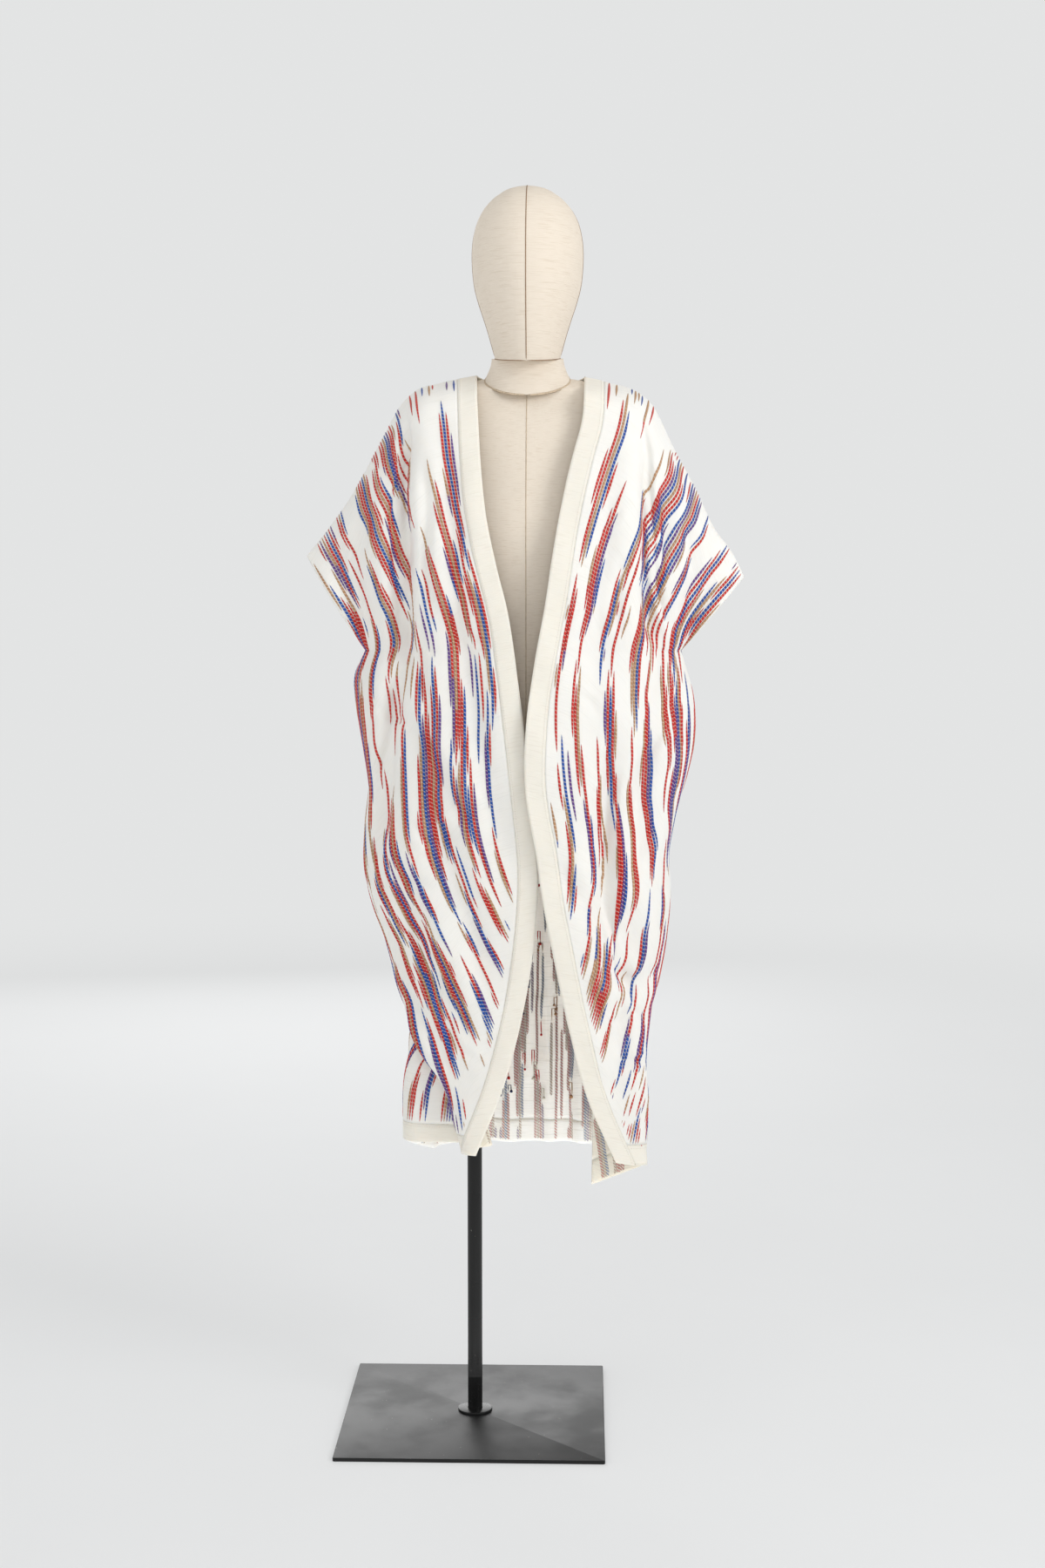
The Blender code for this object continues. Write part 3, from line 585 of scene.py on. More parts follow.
def drop(level: float, hem: Array) -> Array:
    """Real height of a level for a column whose hem is at the given height.

    Args:
        level: Height that the column would have over a level hem.
        hem: Hem height of each column.

    Returns:
        Height of each column.
    """
    if level >= LOW_LEVEL:
        return np.full_like(hem, level)
    return LOW_LEVEL - (LOW_LEVEL - level) * (LOW_LEVEL - hem) / (LOW_LEVEL - HEM_LEVEL)


def body_stations() -> Array:
    """Place of each plan point: 0 to 1 in the first run and 1 to 2 in the second."""
    return np.concatenate([np.linspace(0, 1, DENSE), np.linspace(1, 2, DENSE)[1:]])


def body_levels() -> Array:
    """Heights of the rows from the underarm to the hem."""
    body = np.linspace(ARM_LEVEL, HEM_LEVEL + BAND_WIDTH + SEAM_GAP, BODY_ROWS)
    return np.concatenate([body, np.linspace(HEM_LEVEL + BAND_WIDTH, HEM_LEVEL, HEM_ROWS)])


def shoulder_rise(step: Array) -> Array:
    """Share of the depth that a row reaches at a share of the height; it rounds over the shoulder."""
    return (1 - (1 - step) ** SHOULDER_SQUARE) ** SHOULDER_POWER


def yoke_steps() -> Array:
    """Rows above the underarm, evenly spaced along the cloth."""
    dense = np.linspace(0.0, 1.0, STEPS_DENSE) ** 3
    path = np.stack([dense * (1.38 - ARM_LEVEL), shoulder_rise(dense) * BACK_DEPTH_ARM], axis=1)
    run = lengths(path)
    return np.interp(np.linspace(0.0, run[-1], YOKE_ROWS + 1)[:-1], run, dense)


def yoke_row(top: Array, bottom: Array, step: float, sign: int) -> Array:
    """Row between the shoulder seam and the underarm row, neck to cuff.

    Args:
        top: Points of the shoulder seam.
        bottom: Points of the underarm row.
        step: Share of the way from the seam down to the underarm.
        sign: 1 for the back and -1 for a front.

    Returns:
        The row's points.
    """
    row = top + (bottom - top) * step
    row[:, 1] = top[:, 1] + (bottom[:, 1] - top[:, 1]) * shoulder_rise(np.array(step))
    along = np.linspace(0, 1, len(row))
    row[:, 1] += sign * CUFF_BULGE * math.sin(math.pi * step) * ease(SLEEVE_START, 1.0, along)
    return row


def add_folds(points: Array, row: float, folds: list[Fold], span: tuple[int, int], sign: int) -> Array:
    """Pushes the large troughs into a row, square to its plan curve.

    Args:
        points: Row of out, y and z points.
        row: Number of the row, from the shoulder seam to the hem.
        folds: Troughs of the panel.
        span: First and last point that a trough may be centred on.
        sign: 1 for a front and -1 for the back.

    Returns:
        The folded row.
    """
    heading = unit(np.gradient(points[:, :2], axis=0))
    inward = np.stack([-heading[:, 1], heading[:, 0]], axis=1) * sign
    run = lengths(points)
    shaped = points.copy()
    first, last = span
    for fold in folds:
        if not fold.start < row < fold.end:
            continue
        share = (row - fold.start) / (fold.end - fold.start)
        centre = fold.out_start + (fold.out_end - fold.out_start) * share
        reach = ease(0, 1, min(share, 1 - share) / FOLD_TAPER)
        nearest = first + int(np.argmin(np.abs(points[first:last, 0] - centre)))
        away = (run - run[nearest]) / fold.width
        shaped[:, :2] += inward * (fold.depth * reach * np.exp(-(away**2)))[:, None]
    return shaped


@dataclass(frozen=True)
class HalfDrape:
    """Plan curves and rows of one half of the worn cloth."""

    cut: FrontCut

    def edge(self, level: float) -> Array:
        """Front edge in plan at a height."""
        return np.array([smooth_value(self.cut.edge, "out", level), smooth_value(self.cut.edge, "y", level)])

    def corner(self, level: float) -> tuple[Array, Array]:
        """Outer fold of the front layer in plan, and the hidden seam behind it."""
        fold = np.array([smooth_value(self.cut.layer, "out", level), FOLD_DEPTH_Y])
        return fold, fold + np.array([-self.cut.overlap - 2 * FOLD_RADIUS, 2 * FOLD_RADIUS])

    def side(self, level: float) -> Array:
        """Side of the body in plan at a height."""
        return np.array([smooth_value(self.cut.outline, "out", level), 0.0])

    def front_plan(self, level: float) -> Array:
        """Plan points from the front edge to the fold and on to the side seam.

        Args:
            level: Height of the row.

        Returns:
            Plan points of out and y.
        """
        power = smooth_value(ROUNDNESS, "power", level)
        whole = quarter(self.edge(level), self.side(level), power)
        total = lengths(whole)[-1]
        panel = place(whole, np.linspace(0.0, total - SIDE_STRIP, DENSE))
        strip = place(whole, np.linspace(total - SIDE_STRIP, total, DENSE))
        fold, _ = self.corner(level)
        folded = spread(quarter(self.edge(level), fold, power), DENSE)
        inward = turn(fold, math.pi / 2, math.pi / 2, FOLD_RADIUS)
        last = inward[-1] + np.array([-self.cut.overlap, 0.0])
        back = turn(last, math.pi, -math.pi / 2, FOLD_RADIUS)
        tucked = spread(np.concatenate([inward, [last], back[1:]]), DENSE)
        share = fold_share(level)
        return np.concatenate([panel * (1 - share) + folded * share,
                               (strip * (1 - share) + tucked * share)[1:]])

    def back_plan(self, level: float) -> Array:
        """Plan points from the side seam to the side and on to the middle of the back.

        Args:
            level: Height of the row.

        Returns:
            Plan points of out and y.
        """
        power = smooth_value(ROUNDNESS, "power", level)
        depth = np.interp(level, [HEM_LEVEL, ARM_LEVEL], [BACK_DEPTH_HEM, BACK_DEPTH_ARM])
        middle = np.array([0.0, depth])
        whole = quarter(middle, self.side(level), power)[::-1]
        total = lengths(whole)[-1]
        strip = place(whole, np.linspace(0.0, SIDE_STRIP, DENSE))
        panel = place(whole, np.linspace(SIDE_STRIP, total, DENSE))
        _, hidden = self.corner(level)
        outward = turn(hidden, math.pi / 2, -math.pi / 2, FOLD_RADIUS)
        bend = np.array([self.side(level)[0] - SIDE_RADIUS, outward[-1][1]])
        round_side = turn(bend, 0.0, math.pi / 2, SIDE_RADIUS)
        tucked = spread(np.concatenate([outward, round_side]), DENSE)
        folded = spread(quarter(middle, round_side[-1], power)[::-1], DENSE)
        share = fold_share(level)
        return np.concatenate([strip * (1 - share) + tucked * share,
                               (panel * (1 - share) + folded * share)[1:]])

    def front_row(self, level: float) -> Array:
        """Front row at a height without its folds."""
        hem = self.cut.hem
        heights = np.interp(body_stations(), [0, 1, 2], [hem.tip, hem.fold, hem.hidden])
        return np.column_stack([self.front_plan(level), drop(level, heights)])

    def shoulder(self, count: int, start: float = 0.0) -> Array:
        """Shoulder seam from the neck to the cuff, as evenly spaced points."""
        outs = np.linspace(self.cut.seam[0].out, self.cut.seam[-1].out, DENSE)
        curve = np.stack([outs, np.zeros(DENSE), smooth_value(self.cut.seam, "z", outs)], axis=1)
        return place(curve, np.linspace(start, lengths(curve)[-1], count))

    def front_rows(self) -> list[tuple[Array, float]]:
        """Rows of the front, shoulder seam to hem, each with its side seam's gap."""
        rows = []
        arm = self.front_row(ARM_LEVEL)
        run = lengths(arm)
        seam = self.shoulder(2 * DENSE)
        top = place(seam, run / run[-1] * lengths(seam)[-1])
        for step in yoke_steps():
            row = yoke_row(top, arm, step, -1)
            pull = (1 - run / run[-1]) ** EDGE_PULL_POWER
            row[:, :2] += (self.edge(row[0, 2]) - row[0, :2]) * pull[:, None]
            rows.append((add_folds(row, step, self.cut.folds, (0, DENSE), 1), side_gap(ARM_LEVEL)))
        rows[0][0][:, 1] -= SEAM_GAP / 2
        for level in body_levels():
            row = add_folds(self.front_row(level), row_number(level), self.cut.folds, (0, DENSE), 1)
            rows.append((row, side_gap(level)))
        return rows

    def back_half(self, level: float) -> Array:
        """Half of a back row, side seam to middle.

        Args:
            level: Height of the row.

        Returns:
            Points at the columns of the back.
        """
        hem = self.cut.hem
        heights = np.interp(body_stations(), [0, 1, BACK_HEM_STATION, 2],
                            [hem.hidden, hem.side, hem.back + BACK_HEM_LIFT, hem.back])
        half = np.column_stack([self.back_plan(level), drop(level, heights)])
        run = lengths(half)
        strip = np.linspace(side_gap(level), run[DENSE - 1], STRIP_COLUMNS + 1)
        panel = np.linspace(run[DENSE - 1], run[-1], BACK_COLUMNS + 1)[1:]
        return place(half, np.concatenate([strip, panel]))

    def neckline(self, inset: float, gap: float) -> Array:
        """Half of the back neckline from the shoulder seam to the middle, inset from the edge.

        Args:
            inset: Distance from the neck edge.
            gap: How far it starts behind the shoulder seam.

        Returns:
            Points of out, y and z.
        """
        end = self.shoulder(2, start=inset)[0]
        angle = np.linspace(0.0, math.pi / 2, DENSE)
        middle_z = LEFT.edge[0].z - BACK_NECK_DROP - BACK_NECK_SLOPE * inset
        return np.stack([end[0] * np.cos(angle), gap + (BACK_NECK_DEPTH + inset) * np.sin(angle),
                         end[2] + (middle_z - end[2]) * np.sin(angle) ** 2], axis=1)

    def back_top(self) -> Array:
        """Columns of the back's top edge, cuff to middle."""
        inset = BAND_WIDTH + SEAM_GAP
        seam = self.shoulder(DENSE, start=inset)[::-1]
        neck = self.neckline(inset, 0.0)
        bend = lengths(seam)[-1]
        whole = bend + lengths(neck)[-1]
        run = lengths(self.back_half(ARM_LEVEL))
        wanted = run / run[-1] * whole
        nearest = int(np.argmin(np.abs(wanted - bend)))
        moved = np.where(np.arange(len(run)) <= nearest, wanted * bend / wanted[nearest],
                         bend + (wanted - wanted[nearest]) * (whole - bend) / (whole - wanted[nearest]))
        return place(np.concatenate([seam, neck[1:]]), moved)


def mirror_join(right: Array, left: Array) -> Array:
    """Both halves as one row of signed points, right side seam to left side seam."""
    return np.concatenate([right * np.array([-1, 1, 1]), left[::-1][1:]])


def distance_to(line: Array, places: Array) -> tuple[Array, Array]:
    """Distance of places to a polyline, positive to its left, and the share of it that is nearest.

    Args:
        line: Points of the polyline.
        places: Places to measure from.

    Returns:
        Signed distance and share for each place.
    """
    run = lengths(line)
    best = np.full(len(places), np.inf)
    share = np.zeros(len(places))
    for index in range(len(line) - 1):
        step = line[index + 1] - line[index]
        t = np.clip(((places - line[index]) @ step) / (step @ step), 0.0, 1.0)
        offset = places - line[index]
        away = np.linalg.norm(offset - t[:, None] * step, axis=1)
        away = np.copysign(away, step[0] * offset[:, 1] - step[1] * offset[:, 0])
        nearer = np.abs(away) < np.abs(best)
        best = np.where(nearer, away, best)
        share = np.where(nearer, (run[index] + t * (run[index + 1] - run[index])) / run[-1], share)
    return best, share


def smooth_line(points: Sequence[tuple[float, float]], count: int) -> Array:
    """A smooth line through a few points.

    Args:
        points: Points of out and z.
        count: How many points it gets.

    Returns:
        Evenly spaced points on the line.
    """
    raw = np.array(points)
    run = lengths(raw)
    return curve_through(run, raw, np.gradient(raw, run, axis=0), np.linspace(0.0, run[-1], count))


def crease_depths(places: Array, creases: Iterable[Crease]) -> Array:
    """How far each place in (out, z) is pushed in by the creases; a rim rises beside each trough.

    Args:
        places: Places of out and z.
        creases: Creases to add up.

    Returns:
        One depth for each place.
    """
    pushed = np.zeros(len(places))
    for crease in creases:
        away, share = distance_to(smooth_line(crease.line, CREASE_STEPS), places)
        reach = ease(0, 1, np.minimum(share, 1 - share) / CREASE_TAPER)
        away /= crease.width
        if crease.ledge:
            shape = np.exp(-np.maximum(away, 0) / LEDGE_REACH) / (1 + np.exp(-LEDGE_SHARPNESS * away))
        else:
            shape = np.exp(-(away**2)) - CREASE_RIM * np.exp(-((np.abs(away) - CREASE_RIM_AWAY) ** 2))
        pushed += crease.depth * reach * shape
    return pushed


def ripple(places: Array, seed: int) -> Array:
    """Slow uneven waves of a soft cloth over (out, z) places.

    Args:
        places: Places of out and z.
        seed: Seed of the waves.

    Returns:
        One depth for each place.
    """
    random = np.random.default_rng(seed)
    waves = np.zeros(len(places))
    for length, height in RIPPLES:
        angle = random.uniform(-RIPPLE_TURN, RIPPLE_TURN)
        phase = random.uniform(0, 2 * math.pi)
        bend = RIPPLE_BEND * np.sin(places[:, 1] * random.uniform(*RIPPLE_BEND_PITCH) + random.uniform(0, 6))
        across = places[:, 0] * math.cos(angle) + places[:, 1] * math.sin(angle)
        waves += height * np.sin(2 * math.pi * across / length + phase + bend)
    return waves


@dataclass
class ClothGrid:
    """Inner face of a piece of cloth as rows and columns of points, with its thread directions."""

    points: Array
    across: Array
    along: Array
    facing: int

    def part(self, rows: slice, columns: slice) -> "ClothGrid":
        """A rectangle cut out of the grid."""
        return ClothGrid(self.points[rows, columns], self.across[rows, columns],
                         self.along[rows, columns], self.facing)

    def normals(self) -> Array:
        """Outward direction at each point."""
        return unit(np.cross(np.gradient(self.points, axis=1), np.gradient(self.points, axis=0)) * self.facing)

    def pushed(self, depth: Array) -> "ClothGrid":
        """The grid with each point moved in by its own depth."""
        return ClothGrid(self.points - self.normals() * depth[..., None], self.across, self.along, self.facing)


def settle(points: Array) -> Array:
    """Moves cloth that would lie inside the form to just off it; points are out, y and z.

    Args:
        points: Rows of points of out, y and z.

    Returns:
        The same points, none of them inside the form.
    """
    half = smooth_value(TORSO_RINGS, "half", points[..., 2])
    depth = np.where(points[..., 1] > 0, smooth_value(TORSO_RINGS, "back", points[..., 2]),
                     smooth_value(TORSO_RINGS, "front", points[..., 2]))
    reach = np.sqrt((points[..., 0] / half) ** 2 + (points[..., 1] / depth) ** 2)
    wanted = 1 + FORM_CLEARANCE / np.minimum(half, depth)
    inside = (points[..., 2] > TORSO_BOTTOM) & (points[..., 2] < SETTLE_TOP) & (reach < wanted)
    push = np.where(inside, wanted / np.maximum(reach, 1e-6), 1.0)
    return np.concatenate([points[..., :2] * push[..., None], points[..., 2:]], axis=-1)


def straighten(points: Array, across: Array) -> Array:
    """Makes the rows above the underarm as wide on the cut as the underarm row, and measures down the columns.

    Args:
        points: Rows of points of a panel.
        across: Place of each point across the cut cloth, changed in place.

    Returns:
        Length down each column, from the shoulder seam.
    """
    across[:YOKE_ROWS] *= (across[YOKE_ROWS, -1] / across[:YOKE_ROWS, -1])[:, None]
    steps = np.linalg.norm(np.diff(points, axis=0), axis=2)
    return np.concatenate([np.zeros((1, points.shape[1])), np.cumsum(steps, axis=0)])


def worn_depths(points: Array, along: Array, creases: list[Crease], seed: int) -> Array:
    """How far the creases and ripples push each point in; both fade out at the shoulder seam.

    Args:
        points: Rows of points of a panel.
        along: Length down each column.
        creases: Creases of the panel.
        seed: Seed of the ripples.

    Returns:
        One depth for each point.
    """
    flat = points[..., [0, 2]].reshape(-1, 2)
    depth = crease_depths(flat, creases) + ripple(flat, seed)
    return depth.reshape(along.shape) * ease(0.0, SEAM_FADE, along)


def front_grid(cut: FrontCut) -> ClothGrid:
    """Whole front from its edge to the side seam, band and hem band included.

    Args:
        cut: The front as it is worn.

    Returns:
        Inner face of the front, in the part's own place.
    """
    drape = HalfDrape(cut)
    start = BAND_WIDTH + BAND_SEAM_GAP
    band = np.linspace(0.0, BAND_WIDTH, BAND_COLUMNS)
    points = []
    across = []
    for row, gap in drape.front_rows():
        run = lengths(row)
        end = run[-1] - gap
        fold_at = max(run[DENSE - 1], start + LEAST_FRONT_SHARE * (end - start))
        panel = np.linspace(start, fold_at, FRONT_COLUMNS)
        strip = np.linspace(fold_at, end, STRIP_COLUMNS + 1)[1:]
        columns = np.concatenate([band, panel, strip])
        points.append(place(row, columns))
        across.append(columns)
    points, across = np.array(points), np.array(across)
    along = straighten(points, across)
    across += smooth_value(cut.grain, "start", points[:, 0, 2])[:, None]
    depth = worn_depths(points, along, cut.creases, FRONT_RIPPLE_SEED + cut.side)
    fold_column = BAND_COLUMNS + FRONT_COLUMNS
    columns = np.arange(points.shape[1])
    depth *= 1 - ease(fold_column - SIDE_FADE, fold_column, columns)
    grid = ClothGrid(points, across, along, -1).pushed(depth)
    grid.points = settle(grid.points) * np.array([cut.side, 1, 1]) + np.array([FORM_X, 0, 0])
    grid.facing = -cut.side
    return grid


def back_grid() -> ClothGrid:
    """Whole back from side seam to side seam, hem band included."""
    halves = [HalfDrape(RIGHT), HalfDrape(LEFT)]
    tops = [half.back_top() for half in halves]
    arms = [half.back_half(ARM_LEVEL) for half in halves]
    rows = []
    for step in yoke_steps():
        parts = [yoke_row(top[::-1], arm[::-1], step, 1)[::-1] for top, arm in zip(tops, arms)]
        rows.append((mirror_join(*parts), float(step)))
    rows[0][0][:, 1] += SEAM_GAP / 2
    for level in body_levels():
        rows.append((mirror_join(*[half.back_half(level) for half in halves]), row_number(level)))
    points = []
    across = []
    count = len(rows[0][0])
    from_side = np.minimum(np.arange(count), np.arange(count)[::-1])
    keep = ease(STRIP_COLUMNS, STRIP_COLUMNS + BACK_FADE, from_side)
    for whole, number in rows:
        folded = add_folds(whole, number, BACK_FOLDS, (STRIP_COLUMNS, count - STRIP_COLUMNS), -1)
        points.append(whole + (folded - whole) * keep[:, None])
        run = lengths(whole)
        across.append(run - run[count // 2])
    points, across = np.array(points), np.array(across)
    along = straighten(points, across)
    middle = along[:, STRIP_COLUMNS:-STRIP_COLUMNS].mean(axis=1, keepdims=True)
    along = middle + (along - middle) * LEVEL_SHARE
    depth = worn_depths(points, along, BACK_CREASES, BACK_RIPPLE_SEED) * keep
    grid = ClothGrid(points, across, along, 1).pushed(depth)
    grid.points = settle(grid.points) + np.array([FORM_X, 0, 0])
    return grid


def neck_grid() -> ClothGrid:
    """Band round the back of the neck, from its edge outwards."""
    points = []
    across = []
    for share in np.linspace(0.0, 1.0, BAND_COLUMNS):
        halves = []
        for cut in (RIGHT, LEFT):
            curve = HalfDrape(cut).neckline(BAND_WIDTH * share, SEAM_GAP / 2)
            halves.append(spread(curve, NECK_COLUMNS // 2 + 1))
        row = mirror_join(*halves)
        points.append(row + np.array([FORM_X, 0, 0]))
        across.append(lengths(row))
    across = np.array(across)
    along = np.repeat(np.linspace(0.0, BAND_WIDTH, BAND_COLUMNS)[:, None], across.shape[1], axis=1)
    return ClothGrid(np.array(points), across, along, 1)


class Yarn(Enum):
    """Colours of the thick yarns and of the sewing and seam threads."""

    RED = (202, 38, 32)
    BLUE = (22, 78, 166)
    PURPLE = (98, 62, 138)
    TAN = (186, 142, 104)
    NAVY = (40, 46, 84)
    CREAM = (232, 226, 210)
    BROWN = (150, 116, 84)
    SAND = (208, 188, 162)


SCHEMES = (
    (Yarn.TAN, Yarn.RED, Yarn.RED, Yarn.PURPLE, Yarn.BLUE),
    (Yarn.BLUE, Yarn.RED, Yarn.TAN, Yarn.RED, Yarn.PURPLE),
    (Yarn.RED, Yarn.BLUE, Yarn.PURPLE, Yarn.TAN),
    (Yarn.RED, Yarn.RED, Yarn.TAN, Yarn.BLUE),
    (Yarn.PURPLE, Yarn.RED, Yarn.BLUE, Yarn.RED, Yarn.TAN),
    (Yarn.BLUE, Yarn.TAN, Yarn.RED, Yarn.RED),
)

TAIL_YARNS = (Yarn.RED, Yarn.NAVY, Yarn.NAVY, Yarn.TAN, Yarn.RED, Yarn.CREAM)


def paint(red: float, green: float, blue: float) -> Colour:
    """Linear colour of a 0 to 255 screen colour.

    Args:
        red: Red channel.
        green: Green channel.
        blue: Blue channel.

    Returns:
        The colour, with full cover.
    """
    channels = [c / 255 for c in (red, green, blue)]
    linear = [c / 12.92 if c <= 0.04045 else ((c + 0.055) / 1.055) ** 2.4 for c in channels]
    return (linear[0], linear[1], linear[2], 1.0)


def faded(yarn: Yarn) -> Colour:
    """Colour of a yarn as it shows through on the wrong side."""
    mixed = [WRONG_SIDE_SHARE * channel + (1 - WRONG_SIDE_SHARE) * grey
             for channel, grey in zip(yarn.value, WRONG_SIDE_GREY)]
    return paint(*mixed)


def new_object(name: str, shell: bmesh.types.BMesh, material: bpy.types.Material) -> bpy.types.Object:
    """Object for a finished bmesh, which is freed.

    Args:
        name: Name of the piece.
        shell: Its mesh.
        material: Its finish.

    Returns:
        The new object.
    """
    mesh = bpy.data.meshes.new(name)
    shell.to_mesh(mesh)
    shell.free()
    mesh.materials.append(material)
    mesh.shade_smooth()
    item = bpy.data.objects.new(name, mesh)
    bpy.context.scene.collection.objects.link(item)
    return item


def settle_piece(item: bpy.types.Object, slot: str, *nodes: str) -> bpy.types.Object:
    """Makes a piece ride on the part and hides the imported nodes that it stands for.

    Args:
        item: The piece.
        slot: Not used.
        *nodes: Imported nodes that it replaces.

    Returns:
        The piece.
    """
    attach(item, "root")
    if nodes:
        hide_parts(*nodes)
    LOG.info("%s: %d faces", item.name, len(item.data.polygons))
    return item


def cloth_piece(name: str, grid: ClothGrid, wall: float, outside: bpy.types.Material,
                inside: bpy.types.Material) -> bpy.types.Object:
    """Cloth of the given thickness over a grid, with the thread directions as its map.

    Args:
        name: Name of the piece.
        grid: Inner face of the cloth.
        wall: Thickness, grown outwards.
        outside: Finish of its right side.
        inside: Finish of its wrong side.

    Returns:
        The new object.
    """
    rows, columns = grid.along.shape
    shell = bmesh.new()
    made = bmesh.ops.create_grid(shell, x_segments=columns - 1, y_segments=rows - 1, size=0.5)["verts"]
    for vertex, point in zip(made, grid.points.reshape(-1, 3)):
        vertex.co = point
    if grid.facing < 0:
        bmesh.ops.reverse_faces(shell, faces=shell.faces[:])
    layer = shell.loops.layers.uv.new("cloth")
    places = np.stack([grid.across.ravel(), grid.along.ravel()], axis=1)
    shell.verts.index_update()
    for face in shell.faces:
        for loop in face.loops:
            loop[layer].uv = places[loop.vert.index]
    item = new_object(name, shell, outside)
    item.data.materials.append(inside)
    solid = item.modifiers.new("Wall", "SOLIDIFY")
    solid.thickness = wall
    solid.offset = 1.0
    solid.material_offset = 1
    return item


class Thread(NamedTuple):
    """One thread of the cloth, row by row: inner face points, normals, lengths, inside or not, and column."""

    points: Array
    normals: Array
    along: Array
    there: Array
    column: Array


def find_thread(grid: ClothGrid, normals: Array, across: float) -> Thread:
    """Follows one straight thread of the cut cloth down the worn cloth.

    Args:
        grid: Panel that the thread lies in.
        normals: The panel's normals.
        across: Place of the thread across the cut cloth.

    Returns:
        The thread, which also says in which rows it lies inside the panel.
    """
    columns = np.arange(grid.across.shape[1])
    where = np.array([np.interp(across, row, columns) for row in grid.across])
    low = np.clip(where.astype(int), 0, len(columns) - 2)
    share = where - low
    rows = np.arange(len(where))

    def at_thread(values: Array) -> Array:
        """Values at the thread's place in every row."""
        weight = share if values.ndim == 2 else share[:, None]
        return values[rows, low] * (1 - weight) + values[rows, low + 1] * weight

    there = (across >= grid.across[:, 0] + EDGE_MARGIN) & (across <= grid.across[:, -1] - EDGE_MARGIN)
    return Thread(at_thread(grid.points), at_thread(normals), at_thread(grid.along), there, where)


class StrandMaker:
    """Joins many thin flat strands into one mesh: floats, seams, stitches, tails and knots."""

    def __init__(self) -> None:
        """Starts an empty mesh with the strands' own attributes."""
        self.shell = bmesh.new()
        self.along = self.shell.verts.layers.float.new("along")
        self.across = self.shell.verts.layers.float.new("across")
        self.edge = self.shell.verts.layers.float.new("edge")
        self.yarn = self.shell.verts.layers.float_color.new("yarn")

    def strand(self, path: Array, normals: Array, width: float, height: float, colours: Array,
               place_at: tuple[float, float] = (0.0, 0.0), taper: float = 0.008) -> None:
        """Adds one closed strand, pointed at both ends.

        Args:
            path: Points along its underside.
            normals: Direction that it stands proud in, at each point.
            width: Full width.
            height: Height above the path.
            colours: One linear colour for each point, or one for all.
            place_at: Across and along of its first point on the cut cloth.
            taper: Length of each pointed end.
        """
        run = lengths(path)
        side = unit(np.cross(np.gradient(path, axis=0), normals))
        ends = np.minimum(run, run[-1] - run)
        thick = np.sqrt(np.clip(ends / taper, 0.0, 1.0))[:, None]
        ring = ((-0.5, -0.15), (-0.3, 0.95), (0.3, 0.95), (0.5, -0.15), (-0.5, -0.15))
        made = bmesh.ops.create_grid(self.shell, x_segments=len(ring) - 1, y_segments=len(path) - 1, size=0.5)
        corners = [path + thick * (out * width * side + up * height * normals) for out, up in ring]
        places = np.stack(corners, axis=1).reshape(-1, 3)
        tints = np.broadcast_to(colours, (len(path), 4))
        for index, vertex in enumerate(made["verts"]):
            row, corner = divmod(index, len(ring))
            vertex.co = places[index]
            vertex[self.along] = place_at[1] + run[row]
            vertex[self.across] = place_at[0] + ring[corner][0] * width
            vertex[self.edge] = abs(ring[corner][0]) * 2
            vertex[self.yarn] = tints[row]

    def knot(self, centre: Array, radius: float, colour: Colour) -> None:
        """Adds a small round knot.

        Args:
            centre: Its middle.
            radius: Its radius.
            colour: Its linear colour.
        """
        made = bmesh.ops.create_icosphere(self.shell, subdivisions=1, radius=radius)
        for index, vertex in enumerate(made["verts"]):
            vertex.co = vertex.co * (1 + 0.2 * math.sin(index * 2.4)) + Vector(centre)
            vertex[self.along] = index * 0.001
            vertex[self.yarn] = colour

    def finish(self, name: str, material: bpy.types.Material) -> bpy.types.Object:
        """Closes every strand and makes the object.

        Args:
            name: Name of the piece.
            material: Its finish.

        Returns:
            The new object.
        """
        bmesh.ops.remove_doubles(self.shell, verts=self.shell.verts[:], dist=1e-6)
        bmesh.ops.recalc_face_normals(self.shell, faces=self.shell.faces[:])
        return new_object(name, self.shell, material)


class Motif(Enum):
    """Generic motifs of the thread clusters: threads, length, and spacing of the threads in pitches."""

    BROAD = (8, 0.33, 1)
    MIDDLE = (5, 0.29, 1)
    SLIM = (3, 0.25, 1)
    TRIPLE = (3, 0.18, 2)


MOTIF_ORDER = (Motif.BROAD, Motif.SLIM, Motif.TRIPLE, Motif.SLIM, Motif.MIDDLE, Motif.SLIM, Motif.TRIPLE,
               Motif.MIDDLE, Motif.SLIM)


class Cluster(NamedTuple):
    """One motif on the cloth: its middle thread, middle height, length and colours from side to side."""

    motif: Motif
    number: int
    along: float
    length: float
    colours: tuple[Yarn, ...]


class Float(NamedTuple):
    """One float of a cluster: its thread, its two ends, its yarn, and the next one from a place on."""

    number: int
    start: float
    end: float
    yarn: Yarn
    next_yarn: Yarn
    turn: float


